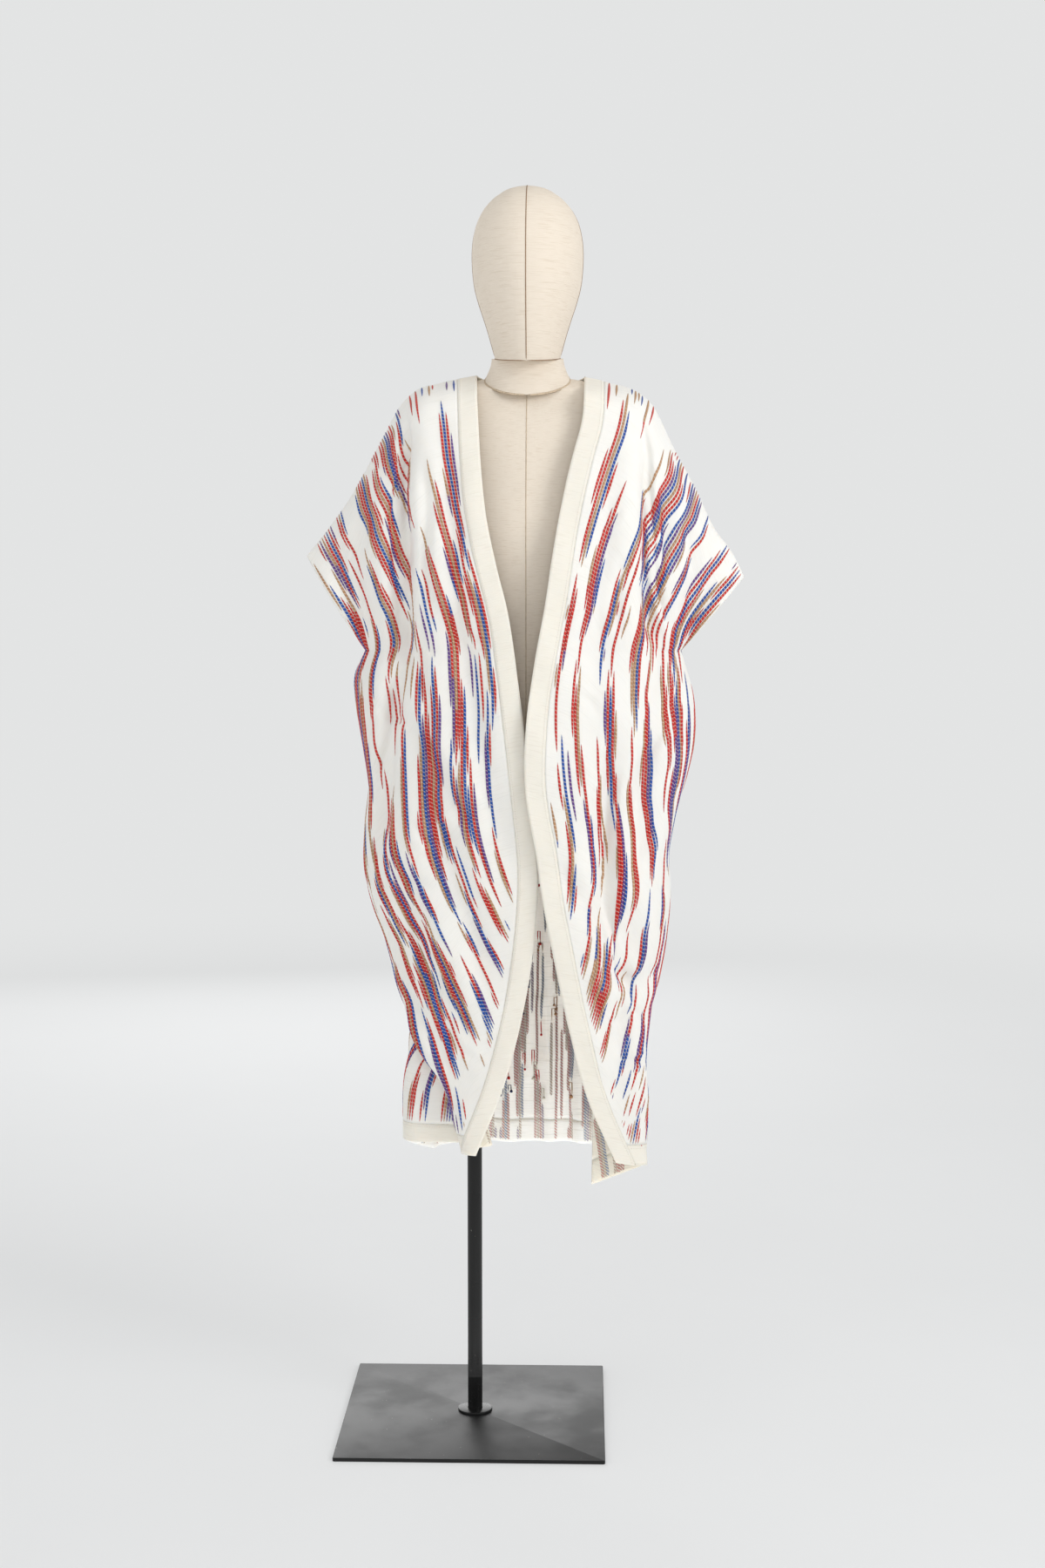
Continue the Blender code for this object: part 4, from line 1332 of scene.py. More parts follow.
@dataclass
class ThreadClusters:
    """Half drop repeat of striped, pointed clusters over one panel and its hem band."""

    grid: ClothGrid
    shown_rows: int
    seed: int
    tail_share: float
    tail_columns: tuple[int, int]
    column_step: float = 0.0245
    row_step: float = 0.200
    normals: Array = field(init=False)
    threads: dict[int, Thread] = field(init=False)
    floats: list[Float] = field(init=False)

    def __post_init__(self) -> None:
        """Works out the floats and the threads that they lie on once."""
        self.normals = self.grid.normals()
        self.floats = self.place_floats(self.layout())
        numbers = {part.number for part in self.floats}
        self.threads = {number: find_thread(self.grid, self.normals, number * YARN_PITCH) for number in numbers}

    def layout(self) -> list[Cluster]:
        """Places the motifs, each a little off its place in the repeat."""
        random = np.random.default_rng(self.seed)
        low, high = self.grid.across.min(), self.grid.across.max()
        bottom = self.grid.along.max()
        aside, off = CLUSTER_SHIFT
        clusters = []
        for column, across in enumerate(np.arange(low, high + self.column_step, self.column_step)):
            first = -self.row_step * (0.25 if column % 2 else 0.75)
            for row, along in enumerate(np.arange(first, bottom + self.row_step, self.row_step)):
                motif = MOTIF_ORDER[(column * 4 + row * 2 + int(random.integers(0, 2))) % len(MOTIF_ORDER)]
                scheme = SCHEMES[(column + 2 * row + int(random.integers(0, 2))) % len(SCHEMES)]
                number = round((across + random.uniform(-aside, aside)) / YARN_PITCH)
                clusters.append(Cluster(motif, number, along + random.uniform(-off, off),
                                        motif.value[1] * random.uniform(*CLUSTER_STRETCH), scheme))
        return clusters

    def place_floats(self, clusters: list[Cluster]) -> list[Float]:
        """Floats of all clusters, each cut short where it would meet one that is already there.

        Args:
            clusters: Motifs with their places.

        Returns:
            The floats, thread by thread.
        """
        random = np.random.default_rng(self.seed + 3)
        taken: dict[int, list[tuple[float, float]]] = {}
        floats = []
        for cluster in clusters:
            count, _, spacing = cluster.motif.value
            lean = random.uniform(-LEAN, LEAN)
            for index in range(count):
                rank = index - (count - 1) / 2
                away = abs(rank) / (count / 2)
                half = cluster.length / 2 * (1 - away**CLUSTER_POINT)
                half = max(STAIR, round(half / STAIR) * STAIR)
                start = cluster.along + lean * rank - half + random.uniform(-END_SPREAD, END_SPREAD)
                end = cluster.along + lean * rank + half + random.uniform(-END_SPREAD, END_SPREAD)
                number = cluster.number + math.floor(rank * spacing)
                for low, high in taken.setdefault(number, []):
                    if start < high and end > low:
                        start, end = (start, low) if cluster.along < (low + high) / 2 else (high, end)
                if end - start > LEAST_FLOAT:
                    taken[number].append((start - FLOAT_GAP, end + FLOAT_GAP))
                    yarn, other = (cluster.colours[(index + step) % len(cluster.colours)] for step in (0, 1))
                    turn = start + (end - start) * random.uniform(0.3, 3.0)
                    floats.append(Float(number, start, end, yarn, other, turn))
        return floats

    def stretches(self, part: Float, rows: int) -> Iterable[tuple[Array, Array, Array]]:
        """Path, normals and cloth lengths of each stretch of a float that lies inside the panel.

        Args:
            part: The float.
            rows: How many rows of the cloth it may lie in.

        Returns:
            The stretches, from the shoulder to the hem.
        """
        thread = self.threads[part.number]
        there = np.concatenate([[0], thread.there[:rows].astype(int), [0]])
        turns = np.flatnonzero(np.diff(there))
        for first, last in zip(turns[::2], turns[1::2]):
            low = max(part.start, thread.along[first] + EDGE_MARGIN)
            high = min(part.end, thread.along[last - 1] - EDGE_MARGIN)
            if high - low < LEAST_FLOAT:
                continue
            inner = thread.along[(thread.along > low + LEAST_STEP) & (thread.along < high - LEAST_STEP)]
            where = np.concatenate([[low], inner, [high]])
            yield (between(where, thread.along, thread.points), unit(between(where, thread.along, thread.normals)),
                   where)

    def outside(self, name: str, material: bpy.types.Material) -> bpy.types.Object:
        """Raised floats on the right side of the cloth."""
        maker = StrandMaker()
        for part in self.floats:
            for path, normals, along in self.stretches(part, self.shown_rows):
                tints = np.array([paint(*part.yarn.value), paint(*part.next_yarn.value)])
                colours = tints[(along > part.turn).astype(int)]
                maker.strand(path + normals * CLOTH_WALL, normals, FLOAT_WIDTH, FLOAT_HEIGHT, colours,
                             (part.number * YARN_PITCH, float(along[0])), FLOAT_TAPER)
        return maker.finish(name, material)

    def inside(self, name: str, material: bpy.types.Material) -> bpy.types.Object:
        """Flat floats on the wrong side of the panel and of its hem band."""
        maker = StrandMaker()
        for part in self.floats:
            tint = faded(part.yarn)
            for path, normals, along in self.stretches(part, len(self.grid.points)):
                maker.strand(path - normals * REVERSE_LIFT, -normals, YARN_PITCH, REVERSE_HEIGHT, np.array(tint),
                             (part.number * YARN_PITCH, float(along[0])), REVERSE_TAPER)
        return maker.finish(name, material)

    def tails(self, name: str, material: bpy.types.Material) -> bpy.types.Object:
        """Loose ends with knots where the floats start and stop on the wrong side, clear of the folds."""
        maker = StrandMaker()
        random = np.random.default_rng(self.seed + 50)
        hem = float(self.grid.along.max()) - TAIL_HEM
        for part in self.floats:
            thread = self.threads[part.number]
            for _, _, along in self.stretches(part, len(self.grid.points)):
                places = np.interp(along[[0, -1]], thread.along, thread.column)
                open_cloth = (places > self.tail_columns[0]) & (places < self.tail_columns[1])
                if TAIL_START < along[0] < hem and open_cloth[0] and random.uniform() < self.tail_share:
                    self.turned_end(maker, thread, float(along[0]), random)
                share = self.tail_share * HANGING_SHARE
                if TAIL_START < along[-1] < TAIL_END and open_cloth[1] and random.uniform() < share:
                    self.hanging_end(maker, thread, float(along[-1]), random)
        return maker.finish(name, material)

    def loose(self, maker: StrandMaker, thread: Thread, run: Array, aside: Array, knot: float,
              random: np.random.Generator) -> None:
        """Thin end that lies on the wrong side of the cloth and stops in a knot.

        Args:
            maker: Mesh to add it to.
            thread: Thread that it belongs to.
            run: Cloth length of each of its points.
            aside: How far each point lies beside the thread.
            knot: Radius of the knot, or 0 for none.
            random: Source of the uneven sizes.
        """
        normals = -between(run, thread.along, thread.normals)
        side = unit(np.cross(normals, np.array([0.0, 0.0, -1.0])))
        path = between(run, thread.along, thread.points) + side * aside[:, None] + normals * TAIL_LIFT
        colour = paint(*TAIL_YARNS[int(random.integers(0, len(TAIL_YARNS)))].value)
        maker.strand(path, normals, TAIL_WIDTH, TAIL_HEIGHT, np.array(colour), taper=0.001)
        if knot:
            maker.knot(path[-1] + normals[-1] * (knot - TAIL_LIFT), knot, colour)

    def turned_end(self, maker: StrandMaker, thread: Thread, start: float, random: np.random.Generator) -> None:
        """End of a thread that runs on, turns back beside itself and stops in a knot.

        Args:
            maker: Mesh to add it to.
            thread: Its thread.
            start: Cloth length where it comes out.
            random: Source of its uneven sizes.
        """
        rise = random.uniform(0.006, 0.020)
        fall = rise - random.uniform(0.006, 0.026)
        apart = random.uniform(0.003, 0.006) * random.choice((-1, 1))
        run = start - np.array([0.0, rise * 0.5, rise, rise, rise * 0.5 + fall * 0.5, fall])
        aside = np.array([0.0, 0.0, 0.0, apart, apart, apart * random.uniform(0.8, 1.4)])
        knot = random.uniform(0.0016, 0.0030) if random.uniform() < KNOT_SHARE else 0.0
        self.loose(maker, thread, run, aside, knot, random)

    def hanging_end(self, maker: StrandMaker, thread: Thread, start: float, random: np.random.Generator) -> None:
        """Short end that hangs down over the cloth."""
        steps = np.linspace(0.0, 1.0, 6)
        span = random.uniform(0.008, 0.022)
        self.loose(maker, thread, start + span * steps, random.uniform(-0.005, 0.005) * steps**2,
                   random.uniform(0.0014, 0.0026), random)


def stitch_line(maker: StrandMaker, path: Array, normals: Array, colour: Colour) -> None:
    """A row of small stitches along a path on the cloth.

    Args:
        maker: Mesh to add them to.
        path: Points along the row.
        normals: Direction out of the cloth.
        colour: Linear colour of the thread.
    """
    run = lengths(path)
    for start in np.arange(STITCH_PITCH, run[-1] - STITCH_PITCH, STITCH_PITCH):
        where = np.linspace(start, start + STITCH_PITCH * STITCH_SHARE, 3)
        maker.strand(between(where, run, path), between(where, run, normals), STITCH_WIDTH, STITCH_HEIGHT,
                     np.array(colour), taper=STITCH_TAPER)


def join_node(tree: bpy.types.NodeTree, kind: str, inputs: dict, **settings: object) -> bpy.types.Node:
    """Adds a shader node.

    Args:
        tree: Node tree to add to.
        kind: Type name of the node.
        inputs: Value or socket for each input, by name or number.
        **settings: Other properties of the node.

    Returns:
        The new node.
    """
    made = tree.nodes.new(kind)
    for name, value in settings.items():
        setattr(made, name, value)
    for key, value in inputs.items():
        if isinstance(value, bpy.types.NodeSocket):
            tree.links.new(value, made.inputs[key])
        else:
            made.inputs[key].default_value = value
    return made


def maths(tree: bpy.types.NodeTree, operation: str, *values: Value) -> bpy.types.NodeSocket:
    """Result of a Math node on up to three values or sockets."""
    made = join_node(tree, "ShaderNodeMath", dict(enumerate(values)), operation=operation)
    return made.outputs[0]


def ramp(tree: bpy.types.NodeTree, value: Value, low: float, high: float, start: float = 0.0,
         end: float = 1.0) -> bpy.types.NodeSocket:
    """Smooth map of a value from one range to another.

    Args:
        tree: Node tree to add to.
        value: Socket to map.
        low: Start of its range.
        high: End of its range.
        start: Result at the start.
        end: Result at the end.

    Returns:
        The result's socket.
    """
    made = join_node(tree, "ShaderNodeMapRange", {0: value, 1: low, 2: high, 3: start, 4: end},
                     interpolation_type="SMOOTHSTEP")
    return made.outputs[0]


def noise(tree: bpy.types.NodeTree, vector: Value, scale: tuple[float, float, float],
          detail: float = 2.0) -> bpy.types.NodeSocket:
    """Noise stretched to its own scale along each axis.

    Args:
        tree: Node tree to add to.
        vector: Socket of the place.
        scale: Scale along each axis.
        detail: Finer octaves.

    Returns:
        The noise's socket.
    """
    mapped = join_node(tree, "ShaderNodeMapping", {"Vector": vector, "Scale": scale}, vector_type="POINT")
    made = join_node(tree, "ShaderNodeTexNoise",
                     {"Vector": mapped.outputs[0], "Scale": 1.0, "Detail": detail, "Roughness": 0.55})
    return made.outputs[0]


def blend(tree: bpy.types.NodeTree, share: Value, first: Value, second: Value) -> bpy.types.NodeSocket:
    """Mix of two colours."""
    made = join_node(tree, "ShaderNodeMix", {0: share, 6: first, 7: second}, data_type="RGBA")
    return made.outputs[2]


def new_material(name: str, roughness: float) -> tuple[bpy.types.Material, bpy.types.NodeTree, bpy.types.Node]:
    """Node material, its tree and its shader.

    Args:
        name: Name of the finish.
        roughness: Its roughness.

    Returns:
        The material, its node tree and its shader node.
    """
    material = bpy.data.materials.new(name)
    material.use_nodes = True
    shader = material.node_tree.nodes["Principled BSDF"]
    shader.inputs["Roughness"].default_value = roughness
    return material, material.node_tree, shader


def bump(tree: bpy.types.NodeTree, shader: bpy.types.Node, height: bpy.types.NodeSocket,
         strength: float, distance: float) -> None:
    """Leads a height into the shader's normal."""
    made = join_node(tree, "ShaderNodeBump", {"Strength": strength, "Distance": distance, "Height": height})
    tree.links.new(made.outputs[0], shader.inputs["Normal"])


def weave_group() -> bpy.types.NodeTree:
    """Shared plain weave: thread height, slub lines across and slow mottling.

    Returns:
        The node group.
    """
    tree = bpy.data.node_groups.new("plain_weave", "ShaderNodeTree")
    tree.interface.new_socket("Vector", in_out="INPUT", socket_type="NodeSocketVector")
    for name in ("Pitch", "Slub Length", "Slub Pitch"):
        tree.interface.new_socket(name, in_out="INPUT", socket_type="NodeSocketFloat")
    for name in ("Height", "Slub", "Mottle"):
        tree.interface.new_socket(name, in_out="OUTPUT", socket_type="NodeSocketFloat")
    given = tree.nodes.new("NodeGroupInput").outputs
    put = tree.nodes.new("NodeGroupOutput")
    axes = join_node(tree, "ShaderNodeSeparateXYZ", {0: given["Vector"]}).outputs
    turns = maths(tree, "DIVIDE", 2 * math.pi, given["Pitch"])
    warp = maths(tree, "SINE", maths(tree, "MULTIPLY", axes[0], turns))
    weft = maths(tree, "SINE", maths(tree, "MULTIPLY", axes[1], turns))
    checks = maths(tree, "MULTIPLY_ADD", maths(tree, "MULTIPLY", warp, weft), 0.35, 0.5)
    wide = maths(tree, "DIVIDE", axes[0], given["Slub Length"])
    tall = maths(tree, "DIVIDE", axes[1], given["Slub Pitch"])
    lines = join_node(tree, "ShaderNodeCombineXYZ", {0: wide, 1: tall, 2: 0.0}).outputs[0]
    slub = ramp(tree, noise(tree, lines, (1.0, 1.0, 1.0), 1.0), 0.52, 0.74)
    fine = ramp(tree, noise(tree, lines, (2.3, 2.7, 1.0), 1.0), 0.35, 0.70)
    height = maths(tree, "ADD", maths(tree, "MULTIPLY", checks, 0.35),
                   maths(tree, "ADD", maths(tree, "MULTIPLY", slub, 0.75), maths(tree, "MULTIPLY", fine, 0.30)))
    tree.links.new(height, put.inputs["Height"])
    tree.links.new(maths(tree, "MAXIMUM", slub, maths(tree, "MULTIPLY", fine, 0.45)), put.inputs["Slub"])
    tree.links.new(ramp(tree, noise(tree, given["Vector"], (7.0, 7.0, 7.0), 3.0), 0.3, 0.7), put.inputs["Mottle"])
    return tree


@dataclass(frozen=True)
class WovenFinish:
    """Plain woven cloth on its own cloth map."""

    name: str
    colour: Colour
    thread: Colour
    pitch: float
    slub_length: float
    slub_pitch: float
    slub_share: float
    bump: float
    glow: float = 0.0
    reach: float = 0.001
    roughness: float = 0.88

    def build(self, weave: bpy.types.NodeTree) -> bpy.types.Material:
        """Makes the material from the shared weave."""
        material, tree, shader = new_material(self.name, self.roughness)
        place_of = join_node(tree, "ShaderNodeUVMap", {}, uv_map="cloth").outputs[0]
        group = join_node(tree, "ShaderNodeGroup", {}, node_tree=weave)
        tree.links.new(place_of, group.inputs["Vector"])
        for key, value in (("Pitch", self.pitch), ("Slub Length", self.slub_length),
                           ("Slub Pitch", self.slub_pitch)):
            group.inputs[key].default_value = value
        slub = maths(tree, "MULTIPLY", group.outputs["Slub"], self.slub_share)
        woven = blend(tree, slub, self.colour, self.thread)
        dull = tuple(c * 0.93 for c in self.colour[:3]) + (1.0,)
        worn = maths(tree, "MULTIPLY", group.outputs["Mottle"], 0.35)
        tree.links.new(blend(tree, worn, woven, dull), shader.inputs["Base Color"])
        shader.inputs["Subsurface Weight"].default_value = self.glow
        shader.inputs["Subsurface Radius"].default_value = (1.0, 0.9, 0.8)
        shader.inputs["Subsurface Scale"].default_value = self.reach
        bump(tree, shader, group.outputs["Height"], self.bump, 0.0004)
        return material


@dataclass(frozen=True)
class YarnFinish:
    """Thick yarn that light threads tie down at a slant, darkened by random flecks and by painted shade along each
    strand's edges; it reads the strands' attributes.
    """

    name: str
    tie_share: float
    tie_width: float
    tie: Colour
    pitch: float = 0.0046
    slant: float = 0.45
    # How strongly the yarn darkens: random flecks, and painted shade along each strand's edges
    shade: float = 1.0
    cover: float = 1.0
    roughness: float = 0.85

    def build(self) -> bpy.types.Material:
        """Makes the material."""
        material, tree, shader = new_material(self.name, self.roughness)
        yarn = join_node(tree, "ShaderNodeAttribute", {}, attribute_name="yarn")
        along, across, edge = (join_node(tree, "ShaderNodeAttribute", {}, attribute_name=name).outputs["Fac"]
                               for name in ("along", "across", "edge"))
        slanted = maths(tree, "MULTIPLY_ADD", across, self.slant, along)
        wave = maths(tree, "SINE", maths(tree, "MULTIPLY", slanted, 2 * math.pi / self.pitch))
        threshold = math.cos(math.pi * self.tie_width)
        tie = ramp(tree, wave, threshold - 0.35, threshold + 0.25)
        twist = maths(tree, "SINE", maths(tree, "MULTIPLY_ADD", edge, 3.0,
                                          maths(tree, "MULTIPLY", along, 2 * math.pi / YARN_TWIST)))
        place_of = join_node(tree, "ShaderNodeTexCoord", {}).outputs["Object"]
        fleck = ramp(tree, noise(tree, place_of, (380.0, 380.0, 150.0), 2.0), 0.38, 0.72, 0.0, 0.5)
        # Painted shade: the yarn darkens towards both edges of each strand, where the strand meets the cloth
        side = ramp(tree, edge, 0.55, 1.0, 0.0, 0.45)
        shade = maths(tree, "MULTIPLY", maths(tree, "MAXIMUM", fleck, side), self.shade)
        # The yarn colour darkened by the flecks and by the painted edge shade
        dark = join_node(tree, "ShaderNodeMix", {0: shade, 6: yarn.outputs["Color"], 7: (0.45, 0.45, 0.45, 1.0)},
                         data_type="RGBA", blend_type="MULTIPLY").outputs[2]
        share = maths(tree, "MULTIPLY", tie, self.tie_share)
        tree.links.new(blend(tree, share, dark, self.tie), shader.inputs["Base Color"])
        if self.cover < 1:
            tree.links.new(maths(tree, "MULTIPLY_ADD", tie, -0.9 * self.cover, self.cover), shader.inputs["Alpha"])
        height = maths(tree, "SUBTRACT", maths(tree, "MULTIPLY", twist, 0.2), tie)
        bump(tree, shader, height, *YARN_BUMP)
        return material


@dataclass(frozen=True)
class SteelFinish:
    """Black coated steel with dust and faint rubs."""

    name: str
    roughness_low: float
    roughness_high: float
    shade: float

    def build(self) -> bpy.types.Material:
        """Makes the material."""
        material, tree, shader = new_material(self.name, self.roughness_low)
        place_of = join_node(tree, "ShaderNodeTexCoord", {}).outputs["Object"]
        cloud = ramp(tree, noise(tree, place_of, (9.0, 9.0, 9.0), 4.0), 0.3, 0.7)
        grain = noise(tree, place_of, (900.0, 900.0, 900.0), 1.0)
        dust = ramp(tree, noise(tree, place_of, (150.0, 150.0, 150.0), 2.0), 0.72, 0.80)
        rub = ramp(tree, noise(tree, place_of, (14.0, 160.0, 14.0), 2.0), 0.66, 0.80)
        black = blend(tree, cloud, paint(*[self.shade] * 3), paint(*[self.shade * 1.4] * 3))
        marked = blend(tree, maths(tree, "MULTIPLY", rub, 0.10), black, paint(120, 118, 116))
        dusty = blend(tree, maths(tree, "MULTIPLY", dust, 0.35), marked, paint(168, 164, 158))
        tree.links.new(dusty, shader.inputs["Base Color"])
        rough = ramp(tree, maths(tree, "ADD", maths(tree, "MULTIPLY", cloud, 0.7), maths(tree, "MULTIPLY", rub, 0.4)),
                     0.0, 1.0, self.roughness_low, self.roughness_high)
        tree.links.new(rough, shader.inputs["Roughness"])
        shader.inputs["Specular IOR Level"].default_value = 0.32
        bump(tree, shader, grain, 0.18, 0.0002)
        return material


@dataclass
class Garment:
    """The jacket: panels, bands, hem bands, stitching and thread clusters."""

    cloth: bpy.types.Material
    wrong_side: bpy.types.Material
    front_wrong_side: bpy.types.Material
    band: bpy.types.Material
    yarn: bpy.types.Material
    reverse: bpy.types.Material
    tail: bpy.types.Material
    sewing: bpy.types.Material
    stitches: StrandMaker = field(default_factory=StrandMaker)

    def build(self) -> None:
        """Builds every cloth piece and what is sewn on it."""
        self.front(RIGHT, "right", 11)
        self.front(LEFT, "left", 23)
        self.back()
        settle_piece(self.stitches.finish("band_stitches", self.sewing), "kimono_band")

    def front(self, cut: FrontCut, label: str, seed: int) -> None:
        """One front panel with its band, hem band and threads.

        Args:
            cut: The front as it is worn.
            label: Side of the wearer.
            seed: Seed of its thread clusters.
        """
        whole = front_grid(cut)
        cloth = whole.part(slice(None), slice(BAND_COLUMNS, None))
        panel = cloth.part(slice(0, HEM_ROW), slice(None))
        hem = cloth.part(slice(HEM_ROW, None), slice(None))
        band = whole.part(slice(None), slice(0, BAND_COLUMNS))
        shown = self.piece("front_" + label, panel, CLOTH_WALL, self.cloth, self.front_wrong_side)
        hem_item = self.piece("hem_" + label, hem, CLOTH_WALL, self.band, self.front_wrong_side)
        band_item = self.piece("band_" + label, band, BAND_WALL, self.band, self.band)
        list(self.dress(cloth, "front_" + label, seed))
        self.stitch(band, BAND_WALL, columns=(BAND_COLUMNS - 2,))
        self.stitch(hem, CLOTH_WALL, rows=(1,))
        self.close((band.points[:, -1] + cloth.points[:, 0]) / 2, band.normals()[:, -1])
        self.close((panel.points[-1] + hem.points[0]) / 2, panel.normals()[-1])

    def back(self) -> None:
        """The back with its hem band, neck band and threads."""
        whole = back_grid()
        panel = whole.part(slice(0, HEM_ROW), slice(None))
        hem = whole.part(slice(HEM_ROW, None), slice(None))
        neck = neck_grid()
        shown = self.piece("back", panel, CLOTH_WALL, self.cloth, self.wrong_side)
        hem_item = self.piece("hem_back", hem, CLOTH_WALL, self.band, self.wrong_side)
        neck_item = self.piece("band_neck", neck, BAND_WALL, self.band, self.band)
        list(self.dress(whole, "back", 37))
        self.stitch(hem, CLOTH_WALL, rows=(1,))
        self.stitch(neck, BAND_WALL, rows=(BAND_COLUMNS - 2,))
        self.close((panel.points[-1] + hem.points[0]) / 2, panel.normals()[-1])

    def piece(self, node: str, grid: ClothGrid, wall: float, outside: bpy.types.Material,
              inside: bpy.types.Material) -> bpy.types.Object:
        """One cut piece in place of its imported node."""
        slot = "kimono_cloth" if outside is self.cloth else "kimono_band"
        return settle_piece(cloth_piece("kimono_" + node, grid, wall, outside, inside), slot, node)

    def dress(self, cloth: ClothGrid, label: str, seed: int) -> list[bpy.types.Object]:
        """Thread clusters of a panel on both faces, and their loose ends.

        Args:
            cloth: Panel with its hem band.
            label: Name of the panel.
            seed: Seed of the clusters.

        Returns:
            The three new pieces.
        """
        columns = cloth.points.shape[1]
        first = STRIP_COLUMNS if label == "back" else 0
        clear = (first + TAIL_INSET, columns - STRIP_COLUMNS - TAIL_INSET)
        clusters = ThreadClusters(cloth, HEM_ROW, seed, TAIL_SHARES[label], clear)
        made = [clusters.outside("threads_" + label, self.yarn), clusters.inside("reverse_" + label, self.reverse),
                clusters.tails("tails_" + label, self.tail)]
        return [settle_piece(item, "kimono_cloth") for item in made]

    def stitch(self, grid: ClothGrid, wall: float, rows: Sequence[int] = (), columns: Sequence[int] = ()) -> None:
        """Stitches along whole rows or columns of a band.

        Args:
            grid: The band.
            wall: Its thickness.
            rows: Rows to stitch.
            columns: Columns to stitch.
        """
        normals = grid.normals()
        outer = grid.points + normals * wall
        colour = paint(*Yarn.CREAM.value)
        for row in rows:
            stitch_line(self.stitches, outer[row], normals[row], colour)
        for column in columns:
            stitch_line(self.stitches, outer[:, column], normals[:, column], colour)

    def close(self, path: Array, normals: Array) -> None:
        """Sewing thread that fills a seam between two pieces, on both faces."""
        colour = np.array(paint(*Yarn.CREAM.value))
        for lift, way, width, height in FILLER_SIZES:
            self.stitches.strand(path + normals * CLOTH_WALL * lift, way * normals, width, height, colour)


@dataclass
class DressForm:
    """Limbless form under a linen cover: torso, neck and plain head."""

    linen: bpy.types.Material
    seam_thread: bpy.types.Material
    sides: int = 112
    inset: float = 0.0006
    seams: StrandMaker = field(default_factory=StrandMaker)

    def at(self, rings: list[Ring], z: Array, angle: Array) -> Array:
        """Points on a stack of rings at heights and angles.

        Args:
            rings: Sections, lowest first.
            z: Heights.
            angle: Angles about the axis.

        Returns:
            One point for each height and angle.
        """
        half = smooth_value(rings, "half", z) - self.inset
        depth = np.where(np.sin(angle) > 0, smooth_value(rings, "back", z),
                         smooth_value(rings, "front", z)) - self.inset
        half, depth = np.maximum(half, 0.0006), np.maximum(depth, 0.0006)
        return np.stack([FORM_X + half * np.cos(angle), depth * np.sin(angle), np.broadcast_to(z, half.shape)], axis=-1)

    def heights(self, rings: list[Ring], count: int) -> Array:
        """Heights of rings evenly spaced along the profile.

        Args:
            rings: Sections, lowest first.
            count: How many.

        Returns:
            One height for each row.
        """
        dense = np.linspace(rings[0].z, rings[-1].z, 900)
        profile = np.stack([dense, smooth_value(rings, "half", dense)], axis=1)
        run = lengths(profile)
        return np.interp(np.linspace(0, run[-1], count), run, dense)

    def part(self, name: str, rings: list[Ring], rows: int, cuts: Sequence[tuple[float, float, bool]],
             radius: float) -> bpy.types.Object:
        """Smooth body through the rings, trimmed by sloping planes.

        Args:
            name: Name of the piece.
            rings: Sections, lowest first.
            rows: How many rows of points it has.
            cuts: Height, slope and whether the upper part stays, for each plane.
            radius: Mean radius, for the cloth map.

        Returns:
            The new object.
        """
        shell = bmesh.new()
        bmesh.ops.create_cone(shell, cap_ends=True, segments=self.sides, radius1=1.0, radius2=1.0, depth=1.0)
        upright = [edge for edge in shell.edges if abs(edge.verts[0].co.z - edge.verts[1].co.z) > 0.5]
        bmesh.ops.subdivide_edges(shell, edges=upright, cuts=rows - 2, use_grid_fill=True)
        heights = self.heights(rings, rows)
        for vertex in shell.verts:
            row = round((vertex.co.z + 0.5) * (rows - 1))
            angle = math.atan2(vertex.co.y, vertex.co.x)
            vertex.co = self.at(rings, np.array(heights[row]), np.array(angle))
        for height, slope, keep_above in cuts:
            normal = (0.0, slope, -1.0) if keep_above else (0.0, -slope, 1.0)
            parts = shell.verts[:] + shell.edges[:] + shell.faces[:]
            cut = bmesh.ops.bisect_plane(shell, geom=parts, plane_co=(FORM_X, 0.0, height), plane_no=normal,
                                         clear_outer=True)
            rim = [part for part in cut["geom_cut"] if isinstance(part, bmesh.types.BMEdge)]
            bmesh.ops.edgeloop_fill(shell, edges=rim)
        bmesh.ops.recalc_face_normals(shell, faces=shell.faces[:])
        layer = shell.loops.layers.uv.new("cloth")
        for face in shell.faces:
            angles = [math.atan2(loop.vert.co.y, loop.vert.co.x - FORM_X) for loop in face.loops]
            wraps = max(angles) - min(angles) > math.pi
            for loop, angle in zip(face.loops, angles):
                around = angle + 2 * math.pi if wraps and angle < 0 else angle
                loop[layer].uv = (around * radius, loop.vert.co.z)
        item = new_object(name, shell, self.linen)
        item.data.set_sharp_from_angle(angle=math.radians(50))
        return item

    def seam(self, rings: list[Ring], z: Array, angle: Array, yarn: Yarn, width: float = SEAM_CORD_WIDTH) -> None:
        """Thin seam cord along heights and angles of a part.

        Args:
            rings: Sections of the part.
            z: Heights.
            angle: Angles.
            yarn: Colour.
            width: Width of the cord.
        """
        path = self.at(rings, z, angle)
        turned = self.at(rings, z, angle + 0.01) - path
        raised = self.at(rings, z + 0.0005, angle) - path
        normals = unit(np.cross(turned, raised))
        self.seams.strand(path, normals, width, SEAM_CORD_HEIGHT, np.array(paint(*yarn.value)))

    def plane_height(self, rings: list[Ring], plane: tuple[float, float], angle: Array) -> Array:
        """Height where a sloping plane meets a part, at each angle.

        Args:
            rings: Sections of the part.
            plane: Height on the axis, and slope.
            angle: Angles.

        Returns:
            One height for each angle.
        """
        z = np.full(len(angle), plane[0])
        for _ in range(5):
            z = plane[0] + plane[1] * self.at(rings, z, angle)[:, 1]
        return z

